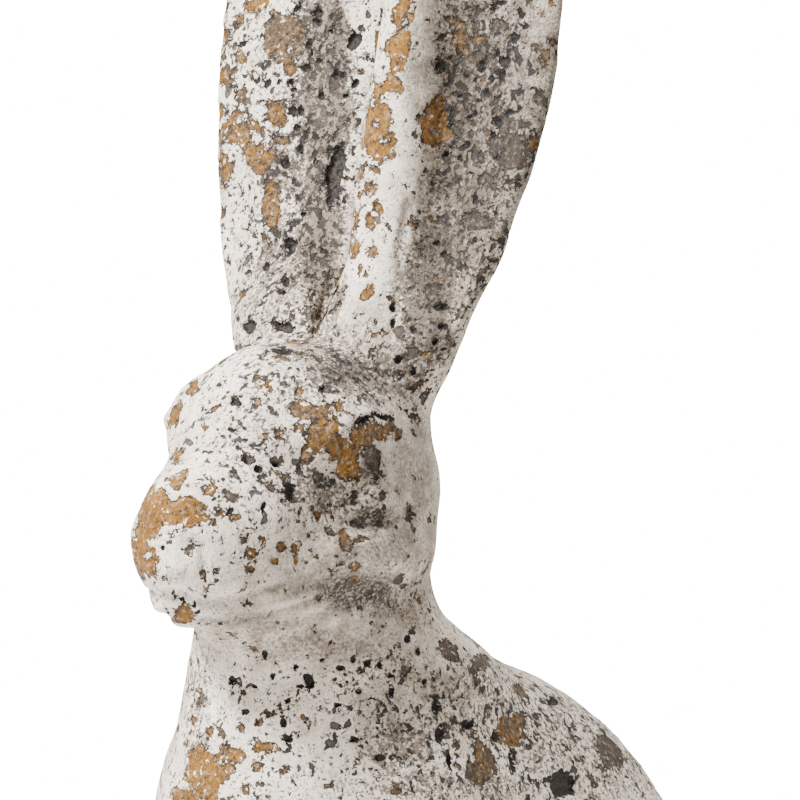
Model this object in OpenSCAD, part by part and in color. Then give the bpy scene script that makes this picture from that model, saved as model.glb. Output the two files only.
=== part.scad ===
// Seated garden hare, cast in fibre cement and assembled from separate castings.
// The hare faces -Y, +Z is up and +X is the hare's left.
// The origin is on the ground, midway between the nose and the tail.
// The castings follow one blended form, so their skins meet at the joint planes.

/* [Body] */
// Width across the haunches
body_w = 204; // [176:2:232]
// Length from the forepaws to the tail
body_l = 346; // [310:2:384]
// Height of the neck seat above the ground, on the neck's axis
body_h = 257; // [236:1:280]
// Wall of the hollow body casting
wall_t = 13; // [9:0.5:16]
// Tilt of the neck seat, rising towards the back
neck_tilt = 10; // [4:1:14]

/* [Head] */
// Width of the head across the cheeks
head_w = 108; // [98:1:118]
// Length of the head from the nose to the nape
head_l = 162; // [150:1:174]
// Height of the head from the neck seat to the ear seat
head_h = 123; // [114:1:132]

/* [Ears] */
// Height of the ears above the ear seat
ear_h = 235; // [180:1:270]
// Width of one ear at its widest
ear_w = 88; // [78:1:92]
// Width of one ear at its root
ear_root_w = 59; // [52:1:62]
// Thickness of the back of an ear, behind its mid surface
ear_back_t = 16; // [13:0.5:19]
// How far the ear's centre line spreads outward from root to tip
ear_spread = 15; // [11:0.5:19]
// How far the tips lie behind the roots
ear_lean = 55; // [30:1:75]
// Height of the left ear's rolled inner rim
left_roll = 18; // [13:0.5:20]
// Height of the right ear's rolled inner rim
right_roll = 3; // [2:0.5:8]

/* [Rods and pins] */
// Diameter of the steel rod in each ear
rod_d = 6; // [5:0.5:8]
// Length of the rod inside the ear
rod_ear_l = 130; // [90:1:140]
// Length of the rod inside the head
rod_head_l = 55; // [40:1:60]
// Diameter of the steel pins in the neck
pin_d = 10; // [8:0.5:12]
// Depth of a neck pin in the head, and in the body
pin_depth = 38; // [25:1:42]
// Distance between the two neck pins
pin_gap = 44; // [36:1:50]
// Clearance all round a rod or a pin in its bore, filled with epoxy
bore_clear = 0.25; // [0.15:0.05:0.4]

/* [Base] */
// Thickness of the plate that closes the body
plate_t = 10; // [8:0.5:14]
// Length of the plate
plate_l = 180; // [150:1:196]
// Width of the plate
plate_w = 96; // [80:1:104]
// Width of the ledge that the plate is bedded on
ledge_w = 7; // [5:0.5:9]
// Clearance round the plate
plate_clear = 0.3; // [0.2:0.1:0.6]
// How far the plate lies above the ground
plate_recess = 1.5; // [1:0.5:3]
// Diameter of the drain hole
drain_d = 16; // [10:1:22]

/* [Hidden] */

paint = "#E2DDD3";
steel = "#8C8F92";
cement = "#A79F92";

// Numbers of facets
round_sides = 64;
body_rings = 40;
head_sides = 56;
head_rings = 34;
ear_sides = 30;
ear_rings = 28;
hollow_sides = 24;
hollow_rings = 9;
march_steps = 40;
march_share = 0.9;
march_end_share = 0.00005;
march_end = body_w * march_end_share;
front_crowd = 14;
ground_crowd = 1.3;
overrun = 2;

half_w = body_w / 2;
head_half_w = head_w / 2;
neck_slope = tan(neck_tilt);
ear_seat_z = body_h + head_h;

// Forms of the body: centre, radii and blend.
// Shares of half the body's width, of its length and of its height.
// The length runs from the neck's axis, towards the back. The blend is a share of half the width.
body_form_shares = [
    [[0, 0.017, 0.654], [0.6, 0.179, 0.358], 0.33],          // chest
    [[0, 0.03, 1.019], [0.471, 0.145, 0.241], 0.33],         // neck
    [[0, 0.145, 0.672], [0.715, 0.191, 0.28], 0.3],          // withers
    [[0, 0.12, 0.905], [0.58, 0.14, 0.09], 0.3],             // nape
    [[0, 0.318, 0.541], [0.865, 0.272, 0.376], 0.33],        // back
    [[0, 0.434, 0.358], [0.922, 0.254, 0.381], 0.39],        // rump
    [[0, 0.188, 0.16], [0.726, 0.37, 0.3], 0.29],            // belly
    [[0.6, 0.341, 0.319], [0.4, 0.225, 0.296], 0.16],        // thigh
    [[0.65, 0.191, 0.054], [0.235, 0.237, 0.093], 0.12],     // hind foot
    [[0.451, 0.064, 0.615], [0.314, 0.116, 0.241], 0.2],     // shoulder
    [[0.333, -0.08, 0.327], [0.235, 0.075, 0.389], 0.14],    // foreleg
    [[0.324, -0.17, 0.047], [0.235, 0.11, 0.093], 0.12],     // forepaw
    [[0, 0.653, 0.202], [0.255, 0.087, 0.132], 0.12]];       // tail
tail_shares = body_form_shares[12];
// The hollow follows only the trunk, so the legs stay solid
trunk_forms_n = 7;

// Forms of the head: centre, radii and blend.
// Shares of half the head's width, of its length, and of its height above the neck seat.
head_form_shares = [
    [[0, 0.074, 0.496], [0.981, 0.309, 0.439], 0.33],        // skull
    [[0, -0.099, 0.65], [0.79, 0.268, 0.341], 0.33],         // forehead
    [[0, -0.325, 0.335], [0.667, 0.255, 0.276], 0.6],        // muzzle
    [[0, -0.48, 0.372], [0.333, 0.12, 0.2], 0.34],           // nose
    [[0, -0.36, 0.115], [0.35, 0.14, 0.081], 0.15],          // chin
    [[0, -0.136, 0.2], [0.741, 0.333, 0.195], 0.26],         // jaw
    [[0.565, -0.12, 0.71], [0.296, 0.14, 0.15], 0.22],       // brow
    [[0.833, -0.049, 0.48], [0.185, 0.099, 0.114], 0.09],    // eye
    [[0.667, -0.025, 0.301], [0.37, 0.235, 0.146], 0.22],    // cheek
    [[0.5, 0.204, 1.05], [0.575, 0.117, 0.28], 0.44]];       // ear root

// Numbers of the body forms that reach the head, and of the head forms that reach the body
neck_forms = [0, 1, 2, 3];
jaw_forms = [0, 2, 4, 5];

// One form as centre, inverse radii, blend and whether it stands on both sides
function made_form(row, half, length, height, lift) =
    let (c = row[0], r = row[1])
    [[c.x * half, c.y * length, c.z * height + lift],
     [[1 / (r.x * half), 0, 0], [0, 1 / (r.y * length), 0], [0, 0, 1 / (r.z * height)]],
     row[2] * half];
body_forms = [for (row = body_form_shares) made_form(row, half_w, body_l, body_h, 0)];
head_forms = [for (row = head_form_shares) made_form(row, head_half_w, head_l, head_h, body_h)];
trunk_forms = [for (i = [0 : trunk_forms_n - 1]) body_forms[i]];
lower_forms = concat(body_forms, [for (i = jaw_forms) head_forms[i]]);
upper_forms = concat(head_forms, [for (i = neck_forms) body_forms[i]]);

// Near distance from a point to an ellipsoid, negative inside it
function form_gap(p, form) =
    let (a = form[1] * (p - form[0]), k = norm(a)) k * (k - 1) / norm(form[1] * a);

// Smooth least of two distances, rounded over the blend
function blended(a, b, blend) =
    let (h = max(blend - abs(a - b), 0)) min(a, b) - h * h / (4 * blend);

// Distance to all the forms blended, with the right half folded onto the left half
function skin_gap(p, forms, i = 0, gap = 1e6) =
    i == len(forms) ? gap
    : skin_gap(p, forms, i + 1, blended(gap, form_gap(p, forms[i]), forms[i][2]));

// The furthest point of the skin along a ray, reached by marching inward from a far point
function skin_reach(origin, ray, far, forms, depth, steps = march_steps) =
    let (q = origin + ray * far, gap = skin_gap([abs(q.x), q.y, q.z], forms) + depth)
    steps == 0 || gap < march_end || far < march_end ? far - max(gap, 0)
    : skin_reach(origin, ray, max(far - march_share * gap, 0), forms, depth, steps - 1);

// The origin lies midway between the tip of the nose and the back of the tail
nose = [0, head_form_shares[3][0].y * head_l, body_h + head_form_shares[3][0].z * head_h];
tail = [0, tail_shares[0].y * body_l, tail_shares[0].z * body_h];
nose_y = nose.y - skin_reach(nose, [0, -1, 0], head_l, upper_forms, 0);
tail_y = tail.y + skin_reach(tail, [0, 1, 0], body_l, lower_forms, 0);
axis_y = -(nose_y + tail_y) / 2;

function crowded_angle(j, sides) = let (a = 360 * j / sides) a - front_crowd * sin(2 * a);

// Half a ring of skin points in a plane that rises towards the back, then mirrored to a full ring.
// The rays crowd together at the front and the back, where the paws and the tail are.
function plane_ring(y, z, slope, sides, far, forms, depth) =
    let (half_ring = [for (j = [0 : sides / 2])
        let (a = crowded_angle(j, sides), way = [sin(a), -cos(a), -slope * cos(a)], ray = way / norm(way))
        [0, y, z] + ray * skin_reach([0, y, z], ray, far, forms, depth)])
    full_ring(half_ring);
function full_ring(half_ring) =
    let (n = len(half_ring) - 1)
    [for (j = [0 : 2 * n - 1])
        let (p = half_ring[min(j, 2 * n - j)]) j <= n ? p : [-p.x, p.y, p.z]];

// Faces between rings of equal length, wound so that they point outward
function ring_faces(rings_n, sides, from = 0) =
    [for (i = [0 : rings_n - 2], j = [0 : sides - 1])
        let (a = from + i * sides + j, b = from + i * sides + (j + 1) % sides)
        each [[a, a + sides, b], [b, a + sides, b + sides]]];
function cap_faces(from, sides, centre, up) =
    [for (j = [0 : sides - 1])
        let (a = from + j, b = from + (j + 1) % sides) up ? [a, centre, b] : [b, centre, a]];
function flat(rings) = [for (ring = rings) each ring];
function mean_point(ring) = [for (i = [0 : 2]) [for (p = ring) p[i]] * [for (p = ring) 1] / len(ring)];

// Outer rings of the body, from the ground to the neck seat
belly_y = body_l * body_form_shares[5][0].y / 2;
neck_y = body_l * body_form_shares[1][0].y;
body_far = body_l;
body_outer = [for (i = [0 : body_rings])
    let (t = pow(i / body_rings, ground_crowd))
    plane_ring(belly_y + (neck_y - belly_y) * t, (body_h + neck_slope * neck_y) * t, neck_slope * t,
        round_sides, body_far, lower_forms, 0)];

// Outline of the plate, an oval with squarer ends
plate_y = belly_y;
oval_power = 2.5;
function oval(half_x, half_y, sides) =
    [for (j = [0 : sides - 1])
        let (a = 360 * j / sides, c = cos(a), s = sin(a))
        [sign(s) * half_x * pow(abs(s), 2 / oval_power),
         plate_y - sign(c) * half_y * pow(abs(c), 2 / oval_power)]];
function at_height(outline, z) = [for (p = outline) [p.x, p.y, z]];

// Hollow of the body: the plate's pocket, its ledge, then the trunk inset by the wall
pocket_h = plate_t + plate_recess;
hollow_top = body_h - pin_depth - 2 * wall_t;
pocket = oval(plate_w / 2 + plate_clear, plate_l / 2 + plate_clear, hollow_sides);
throat = oval(plate_w / 2 - ledge_w, plate_l / 2 - ledge_w, hollow_sides);
body_hollow = concat(
    [at_height(pocket, 0), at_height(pocket, pocket_h), at_height(throat, pocket_h)],
    [for (i = [1 : hollow_rings])
        let (t = i / (hollow_rings + 1), z = pocket_h + (hollow_top - pocket_h) * t)
        plane_ring(belly_y + (neck_y - belly_y) * t, z, 0, hollow_sides, body_far, trunk_forms, wall_t)]);

// Neck pins stand square to the neck seat
module at_neck_pin(side) {
    translate([0, neck_y, body_h + neck_slope * neck_y]) rotate([neck_tilt, 0, 0])
        translate([0, side * pin_gap / 2, 0]) children();
}
module neck_bore(side) {
    at_neck_pin(side) translate([0, 0, -pin_depth - bore_clear])
        cylinder(d = pin_d + 2 * bore_clear, h = 2 * (pin_depth + bore_clear), $fn = round_sides);
}
module neck_pin(side) {
    at_neck_pin(side) translate([0, 0, -pin_depth]) cylinder(d = pin_d, h = 2 * pin_depth, $fn = round_sides);
}

module body_cup() {
    outer = flat(body_outer);
    inner = flat(body_hollow);
    outer_n = len(outer);
    inner_n = len(inner);
    top_ring = body_outer[body_rings];
    crown = [for (p = body_hollow[len(body_hollow) - 1]) [p.x, p.y, hollow_top]];
    points = concat(outer, inner, [mean_point(top_ring), mean_point(crown)]);
    polyhedron(points, concat(
        ring_faces(body_rings + 1, round_sides),
        cap_faces(body_rings * round_sides, round_sides, outer_n + inner_n, true),
        [for (f = ring_faces(len(body_hollow), hollow_sides, outer_n)) [f[0], f[2], f[1]]],
        [for (f = cap_faces(outer_n + inner_n - hollow_sides, hollow_sides, outer_n + inner_n + 1, true))
            [f[0], f[2], f[1]]],
        rim_faces(outer_n)));
}

// The flat foot ring between the outer outline and the pocket, which have unlike numbers of sides
function rim_faces(outer_n) =
    [for (j = [0 : round_sides - 1])
        let (k = pocket_side(j), k_next = pocket_side(j + 1), a = j, b = (j + 1) % round_sides,
             p = outer_n + k % hollow_sides, q = outer_n + k_next % hollow_sides)
        each k == k_next ? [[a, b, p]] : [[a, b, p], [b, q, p]]];
function pocket_side(j) = floor((j + 0.5) * hollow_sides / round_sides);

module body_shell() {
    color(paint) translate([0, axis_y, 0]) difference() {
        body_cup();
        neck_bore(-1);
        neck_bore(1);
    }
}

// Rings of the head run from the neck seat to the ear seat, as seen from the middle of the skull.
// The viewpoint moves back a little on the way up, to lie under the ears.
skull_z = body_h + head_h * head_form_shares[0][0].z;
ear_seat_y = head_l * head_form_shares[9][0].y;
head_far = head_l;
neck_ring = plane_ring(neck_y, neck_seat_z(neck_y), neck_slope, head_sides, head_far, upper_forms, 0);
crown_ring = plane_ring(ear_seat_y, ear_seat_z, 0, head_sides, head_far, upper_forms, 0);
function neck_seat_z(y) = body_h + neck_slope * y;
function elevation(v) = atan2(v.z, norm([v.x, v.y]));
function seat_limit(eye, ray) =
    let (down = neck_slope * ray.y - ray.z, up = ray.z)
    min(down > 0 ? (eye.z - neck_seat_z(eye.y)) / down : head_far,
        up > 0 ? (ear_seat_z - eye.z) / up : head_far, head_far);
head_rings_pts =
    concat([neck_ring], [for (i = [1 : head_rings - 1])
        let (t = i / head_rings, eye = [0, neck_y + (ear_seat_y - neck_y) * t, skull_z])
        full_ring([for (j = [0 : head_sides / 2])
            let (low = elevation(neck_ring[j] - [0, neck_y, skull_z]),
                 high = elevation(crown_ring[j] - [0, ear_seat_y, skull_z]),
                 up = low + (high - low) * t, turn = crowded_angle(j, head_sides),
                 ray = [sin(turn) * cos(up), -cos(turn) * cos(up), sin(up)])
            eye + ray * skin_reach(eye, ray, seat_limit(eye, ray), upper_forms, 0)])],
        [crown_ring]);

module head_casting() {
    points = flat(head_rings_pts);
    n = len(points);
    polyhedron(concat(points, [[0, neck_y, neck_seat_z(neck_y)], [0, ear_seat_y, ear_seat_z]]), concat(
        ring_faces(head_rings + 1, head_sides),
        cap_faces(0, head_sides, n, false),
        cap_faces(head_rings * head_sides, head_sides, n + 1, true)));
}

module head() {
    color(paint) translate([0, axis_y, 0]) difference() {
        head_casting();
        neck_bore(-1);
        neck_bore(1);
        ear_bore(-1);
        ear_bore(1);
    }
}

// The left ear is scooped beside its thick roll, the right one is nearly flat and a little full.
// Shares: the height where the ear is widest, then the scoop and the outer rim against the back's thickness.
left_ear_shares = [0.5, 0.54, 0.3];
right_ear_shares = [0.62, -0.25, 0.05];
left_shape = concat([left_roll], left_ear_shares);
right_shape = concat([right_roll], right_ear_shares);

// Outline of an ear: centre line and half width against the share of its height
tip_power = 4;
spread_power = 2.4;
tip_loss_share = 0.07;
gap_share = 0.0083;
set_back_share = 0.18;
function ear_mid_x(s) = ear_root_w / 2 + ear_gap + ear_spread * (1 - pow(1 - s, spread_power));
function ear_half_w(s, shape) =
    (ear_root_w + (ear_w + ear_tip_loss - ear_root_w) * sin(90 * min(1, s / shape[1]))) / 2
    * sqrt(max(0, 1 - pow(s, tip_power)));
function ear_mid_y(s) = ear_seat_y + ear_set_back + ear_lean * s;
ear_tip_loss = ear_w * tip_loss_share;
ear_gap = ear_w * gap_share;
ear_set_back = ear_back_t * set_back_share;

// Section of an ear: the back is a shallow dome, the front has a scoop or a fullness between two rolls.
// The inner roll is broad, with steep sides, and tapers towards the tip.
front_share_t = 0.36;
roll_wide_share = 0.216;
roll_at_share = 0.9;
roll_taper_share = 0.93;
roll_power = 4;
outer_at_share = 0.9;
outer_wide_share = 0.16;
scoop_at_share = 0.1;
scoop_wide_share = 0.5;
scoop_fade_share = 0.28;
back_thin_share = 0.4;
function bump(u, at, wide) = exp(-pow((u - at) / wide, 2));
function roll_half_w(s) = ear_w * roll_wide_share * (1 - roll_taper_share * pow(s, 3));
function roll_rise(x, s) = exp(-pow(abs(x - roll_at_share * roll_half_w(s)) / roll_half_w(s), roll_power));
function ear_front(u, h, s, shape) =
    ear_back_t * front_share_t * h
    + shape[0] * roll_rise(ear_mid_x(s) + ear_half_w(s, shape) * u, s) * sqrt(h)
    + ear_back_t * shape[3] * bump(u, outer_at_share, outer_wide_share) * sqrt(h)
    - ear_back_t * shape[2] * bump(u, scoop_at_share, scoop_wide_share) * h * min(1, s / scoop_fade_share);
function ear_point(a, s, shape) =
    let (u = cos(a), h = abs(sin(a)), thin = sqrt(max(0, 1 - pow(s, tip_power + 2))),
         depth = sin(a) >= 0 ? -ear_front(u, h, s, shape) : ear_back_t * (1 - back_thin_share * s) * h)
    [ear_mid_x(s) + ear_half_w(s, shape) * u, ear_mid_y(s) + depth * thin, ear_seat_z + ear_h * s];

// The root follows the head's own section, and eases into the ear's section above it.
// The rings crowd together towards the tip. The ears lie flat against each other, with a gap between.
root_ease_share = 0.16;
tip_crowd = 1.6;
function root_ring(shape) =
    let (mid = [ear_mid_x(0), ear_mid_y(0), ear_seat_z])
    [for (j = [0 : ear_sides - 1])
        let (p = ear_point(360 * j / ear_sides, 0, shape), ray = (p - mid) / norm(p - mid),
             far = ray.x < 0 ? min(ear_w, (mid.x - ear_gap / 2) / -ray.x) : ear_w)
        mid + ray * skin_reach(mid, ray, far, upper_forms, 0)];
function ease(s) = let (t = min(1, s / root_ease_share)) 1 - t * t * (3 - 2 * t);

module ear_casting(shape) {
    root = root_ring(shape);
    rings = [for (i = [0 : ear_rings - 1])
        let (t = i / ear_rings, s = 1 - pow(1 - t, tip_crowd))
        [for (j = [0 : ear_sides - 1])
            let (a = 360 * j / ear_sides,
                 p = ear_point(a, s, shape) + (root[j] - ear_point(a, 0, shape)) * ease(s))
            [max(p.x, ear_gap / 2), p.y, p.z]]];
    points = flat(rings);
    n = len(points);
    tip = [ear_mid_x(1), ear_mid_y(1), ear_seat_z + ear_h];
    polyhedron(concat(points, [[ear_mid_x(0), ear_mid_y(0), ear_seat_z], tip]), concat(
        [for (f = ring_faces(ear_rings, ear_sides)) [f[0], f[2], f[1]]],
        [for (f = cap_faces(0, ear_sides, n, false)) [f[0], f[2], f[1]]],
        [for (f = cap_faces(n - ear_sides, ear_sides, n + 1, true)) [f[0], f[2], f[1]]]));
}

// The rod runs up the thick inner rim of the ear, along its lean
rod_at_share = -0.56;
rod_back_share = 0.125;
function rod_point(s) =
    [ear_mid_x(s) + rod_at_share * ear_half_w(s, left_shape), ear_mid_y(s) + rod_back_share * ear_back_t,
     ear_seat_z + ear_h * s];
rod_foot = rod_point(0);
rod_way = rod_point(rod_ear_l / ear_h) - rod_foot;
rod_ray = rod_way / norm(rod_way);
// The bore is turned so that its first facet stays clear of the casting's edges
rod_turn = 40;
module along_rod(side) {
    mirror([side < 0 ? 1 : 0, 0, 0]) translate(rod_foot)
        rotate([0, acos(rod_ray.z), atan2(rod_ray.y, rod_ray.x)]) rotate(rod_turn) children();
}
module ear_bore(side) {
    along_rod(side) translate([0, 0, -rod_head_l - bore_clear])
        cylinder(d = rod_d + 2 * bore_clear, h = rod_head_l + rod_ear_l + 2 * bore_clear, $fn = round_sides);
}
module ear_rod(side) {
    translate([0, axis_y, 0]) along_rod(side) translate([0, 0, -rod_head_l])
        cylinder(d = rod_d, h = rod_head_l + rod_ear_l, $fn = round_sides);
}
module ear(side, shape) {
    translate([0, axis_y, 0]) difference() {
        mirror([side < 0 ? 1 : 0, 0, 0]) ear_casting(shape);
        ear_bore(side);
    }
}
module left_ear() { color(paint) ear(1, left_shape); }
module right_ear() { color(paint) ear(-1, right_shape); }
module left_ear_rod() { color(steel) ear_rod(1); }
module right_ear_rod() { color(steel) ear_rod(-1); }

module base_plate() {
    color(cement) translate([0, axis_y, plate_recess]) difference() {
        linear_extrude(plate_t) polygon(oval(plate_w / 2, plate_l / 2, hollow_sides));
        translate([0, plate_y, -overrun]) cylinder(d = drain_d, h = plate_t + 2 * overrun, $fn = round_sides);
    }
}

module front_neck_pin() { color(steel) translate([0, axis_y, 0]) neck_pin(-1); }
module rear_neck_pin() { color(steel) translate([0, axis_y, 0]) neck_pin(1); }

body_shell();
head();
left_ear();
right_ear();
left_ear_rod();
right_ear_rod();
front_neck_pin();
rear_neck_pin();
base_plate();
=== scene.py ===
import math

import bpy
import numpy as np
from mathutils import Matrix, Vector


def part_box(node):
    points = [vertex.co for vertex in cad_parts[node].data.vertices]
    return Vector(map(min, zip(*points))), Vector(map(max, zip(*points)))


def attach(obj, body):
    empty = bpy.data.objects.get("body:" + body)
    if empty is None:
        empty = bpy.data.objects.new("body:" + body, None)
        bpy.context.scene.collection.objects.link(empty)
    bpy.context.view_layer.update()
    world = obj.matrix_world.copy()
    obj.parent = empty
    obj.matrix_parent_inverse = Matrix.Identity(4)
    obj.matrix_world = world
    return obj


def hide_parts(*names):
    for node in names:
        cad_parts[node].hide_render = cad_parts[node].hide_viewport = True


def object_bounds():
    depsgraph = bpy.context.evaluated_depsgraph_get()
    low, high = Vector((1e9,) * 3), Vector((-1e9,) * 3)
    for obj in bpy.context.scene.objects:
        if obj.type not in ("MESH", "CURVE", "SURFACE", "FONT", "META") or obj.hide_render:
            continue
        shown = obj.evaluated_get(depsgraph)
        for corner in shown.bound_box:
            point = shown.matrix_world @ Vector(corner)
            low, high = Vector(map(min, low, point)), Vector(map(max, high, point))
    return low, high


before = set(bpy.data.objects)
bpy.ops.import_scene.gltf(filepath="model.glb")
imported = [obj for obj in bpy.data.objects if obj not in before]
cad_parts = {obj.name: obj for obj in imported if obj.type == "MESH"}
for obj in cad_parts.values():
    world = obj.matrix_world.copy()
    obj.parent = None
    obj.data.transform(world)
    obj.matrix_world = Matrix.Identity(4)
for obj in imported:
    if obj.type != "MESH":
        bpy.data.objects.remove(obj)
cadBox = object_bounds()
print("hare: frame loaded")

mm = 0.001  # lengths below are millimetres, and become metres when a mesh is made

# where the photograph was taken from, and how its pixels measure the hare
photo = {
    "turn": 35.0,        # degrees from the hare's front towards its left
    "rise": 5.0,         # degrees above level
    "pixel": 0.425,      # one pixel at the hare's neck axis
    "column": 300.0,     # pixel column of the neck's axis
    "groundRow": 1230.0,  # pixel row of the ground, far below the frame
    "size": 800.0,
    "distance": 5200.0,  # from the camera to the neck's axis
    "sensor": 36.0,
    "clipEnd": 50.0,     # metres
}

# the casting's own sizes
bodySizes = {
    "width": 204.0, "length": 346.0, "height": 257.0, "neckTilt": 10.0,
    "wall": 13.0, "hollowDrop": 38.0, "pocketClear": 0.3, "ledge": 7.0, "plateCorners": 2.5,
}
headSizes = {"width": 108.0, "length": 162.0, "height": 123.0}
earSizes = {
    "width": 88.0, "rootWidth": 59.0, "back": 16.0, "spread": 15.0, "lean": 55.0,
    "tipPower": 4.0, "spreadPower": 2.4, "tipLoss": 0.07, "gap": 0.0083, "setBack": 0.18, "ease": 0.16,
    "rollWidth": 0.216, "rollTaper": 0.93, "rollPower": 4.0, "rollAt": 0.9,
    "dome": 0.36, "thinning": 0.4, "scoopAt": 0.1, "scoopWidth": 0.5, "scoopStart": 0.28, "outerAt": 0.9,
    "outerWidth": 0.16, "widestReach": 60.0,
}
# the left ear is scooped beside a thick roll, the right one is nearly flat and a little full
leftEar = {"roll": 18.0, "widest": 0.5, "scoop": 0.54, "outer": 0.3}
rightEar = {"roll": 3.0, "widest": 0.62, "scoop": -0.25, "outer": 0.05}
# rows and columns of each surface; the columns crowd towards the photograph's side
fineness = {
    "leftColumns": 222, "rightColumns": 162, "innerColumns": 96, "columnGain": 1.3, "columnWidth": 1.3,
    "bodyRows": 236, "headRows": 254, "earRows": 308, "hollowRows": 12,
    "neckCrowd": (0.95, 0.35, 1.4), "tipCrowd": 1.35,
}
# how rays find the skin: the share of the gap taken at each step, and the coarse march before the short one
marching = {"share": 0.9, "coarseSteps": 40, "lastSteps": 9, "every": 6, "margin": 4.0}
samples = 2000  # points on a curve that is read back by its length
least = 1e-6  # below this a ray doesn't rise or fall to a plane

# centre, radii and blend of each form, in shares of half the width, the length and the height
bodyForms = {
    "chest": ((0, 0.017, 0.654), (0.6, 0.179, 0.358), 0.33),
    "neck": ((0, 0.03, 1.019), (0.471, 0.145, 0.241), 0.33),
    "withers": ((0, 0.145, 0.672), (0.715, 0.191, 0.28), 0.3),
    "nape": ((0, 0.12, 0.905), (0.58, 0.14, 0.09), 0.3),
    "back": ((0, 0.318, 0.541), (0.865, 0.272, 0.376), 0.33),
    "rump": ((0, 0.434, 0.358), (0.922, 0.254, 0.381), 0.39),
    "belly": ((0, 0.188, 0.16), (0.726, 0.37, 0.3), 0.29),
    "thigh": ((0.6, 0.341, 0.319), (0.4, 0.225, 0.296), 0.16),
    "hindFoot": ((0.65, 0.191, 0.054), (0.235, 0.237, 0.093), 0.12),
    "shoulder": ((0.451, 0.064, 0.615), (0.314, 0.116, 0.241), 0.2),
    "foreleg": ((0.333, -0.08, 0.327), (0.235, 0.075, 0.389), 0.14),
    "forepaw": ((0.324, -0.17, 0.047), (0.235, 0.11, 0.093), 0.12),
    "tail": ((0, 0.653, 0.202), (0.255, 0.087, 0.132), 0.12),
}
headForms = {
    "skull": ((0, 0.074, 0.496), (0.981, 0.309, 0.439), 0.33),
    "forehead": ((0, -0.099, 0.65), (0.79, 0.268, 0.341), 0.33),
    "muzzle": ((0, -0.325, 0.335), (0.667, 0.255, 0.276), 0.6),
    "nose": ((0, -0.48, 0.372), (0.333, 0.12, 0.2), 0.34),
    "chin": ((0, -0.36, 0.115), (0.35, 0.14, 0.081), 0.15),
    "jaw": ((0, -0.136, 0.2), (0.741, 0.333, 0.195), 0.26),
    "brow": ((0.565, -0.12, 0.71), (0.296, 0.14, 0.15), 0.22),
    "eye": ((0.833, -0.049, 0.48), (0.185, 0.099, 0.114), 0.09),
    "cheek": ((0.667, -0.025, 0.301), (0.37, 0.235, 0.146), 0.22),
    "earRoot": ((0.5, 0.204, 1.05), (0.575, 0.117, 0.28), 0.44),
}


def sized(forms, half, length, height, lift):
    # shares times the casting's own sizes
    scale = np.array([half, length, height])
    return [(np.array(c) * scale + [0, 0, lift], np.array(r) * scale, k * half) for c, r, k in forms.values()]


halfGap = earSizes["gap"] * earSizes["width"] / 2
neckSlope = math.tan(math.radians(bodySizes["neckTilt"]))
bodySkin = sized(bodyForms, bodySizes["width"] / 2, bodySizes["length"], bodySizes["height"], 0)
headSkin = sized(headForms, headSizes["width"] / 2, headSizes["length"], headSizes["height"], bodySizes["height"])
allForms = bodySkin + headSkin
trunkSkin = bodySkin[:list(bodyForms).index("thigh")]
neckY = bodyForms["neck"][0][1] * bodySizes["length"]
bellyY = bodyForms["rump"][0][1] * bodySizes["length"] / 2
skullZ = bodySizes["height"] + headForms["skull"][0][2] * headSizes["height"]
earY = headForms["earRoot"][0][1] * headSizes["length"]
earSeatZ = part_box("left_ear")[0].z / mm
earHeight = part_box("left_ear")[1].z / mm - earSeatZ
plateLow, plateHigh = (np.array(corner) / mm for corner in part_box("base_plate"))
axisY = (plateLow[1] + plateHigh[1]) / 2 - bellyY  # the neck's axis, seen from the origin


def unit(v):
    # each vector over its length
    return v / np.linalg.norm(v, axis=-1, keepdims=True)


def skinGap(p, forms):
    # near distance to each ellipsoid, k(k - 1) / |gradient|, joined by a smooth least
    q = p.copy()
    q[..., 0] = np.abs(q[..., 0])
    gap = None
    for centre, radii, blend in forms:
        a = (q - centre) / radii
        k = np.sqrt((a * a).sum(-1))
        b = a / radii
        one = k * (k - 1) / np.sqrt((b * b).sum(-1) + 1e-18)
        if gap is None:
            gap = one
            continue
        h = np.maximum(blend - np.abs(gap - one), 0)
        gap = np.minimum(gap, one) - h * h / (4 * blend)
    return gap


def march(origin, ray, far, forms, depth, steps):
    # from a far point inward, each step most of the gap that is left
    for _ in range(steps):
        gap = skinGap(origin + ray * far[..., None], forms) + depth
        far = np.maximum(far - marching["share"] * gap, 0)
    return far


def hat(count, every):
    # weights that carry each value on a coarse row over the fine rows between, in a straight line
    fine = np.arange(count)[:, None]
    coarse = np.append(np.arange(0, count - 1, every), count - 1)
    place = np.interp(fine[:, 0], coarse, np.arange(len(coarse)))
    return coarse, np.maximum(0, 1 - np.abs(place[:, None] - np.arange(len(coarse))))


def reach(origin, ray, far, forms, depth=0.0):
    # a coarse march first, then a short one from just outside its result
    rows, down = hat(ray.shape[0], marching["every"])
    cols, across = hat(ray.shape[1], marching["every"])
    origin = np.broadcast_to(origin, ray.shape)
    far = np.broadcast_to(far, ray.shape[:2])
    pick = np.ix_(rows, cols)
    coarse = march(origin[pick], ray[pick], far[pick].astype(float), forms, depth, marching["coarseSteps"])
    near = np.minimum(down @ coarse @ across.T + marching["margin"], far)
    return march(origin, ray, near, forms, depth, marching["lastSteps"])


def crowded(count, low, high, focus, width, gain):
    # places from low to high, spaced by one over 1 + gain times a bell round the focus
    x = np.linspace(low, high, samples)
    weight = 1 + gain * np.exp(-((x - focus) / width) ** 2)
    total = np.concatenate([[0], np.cumsum((weight[1:] + weight[:-1]) / 2)])
    return np.interp(np.linspace(0, total[-1], count), total, x)


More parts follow.
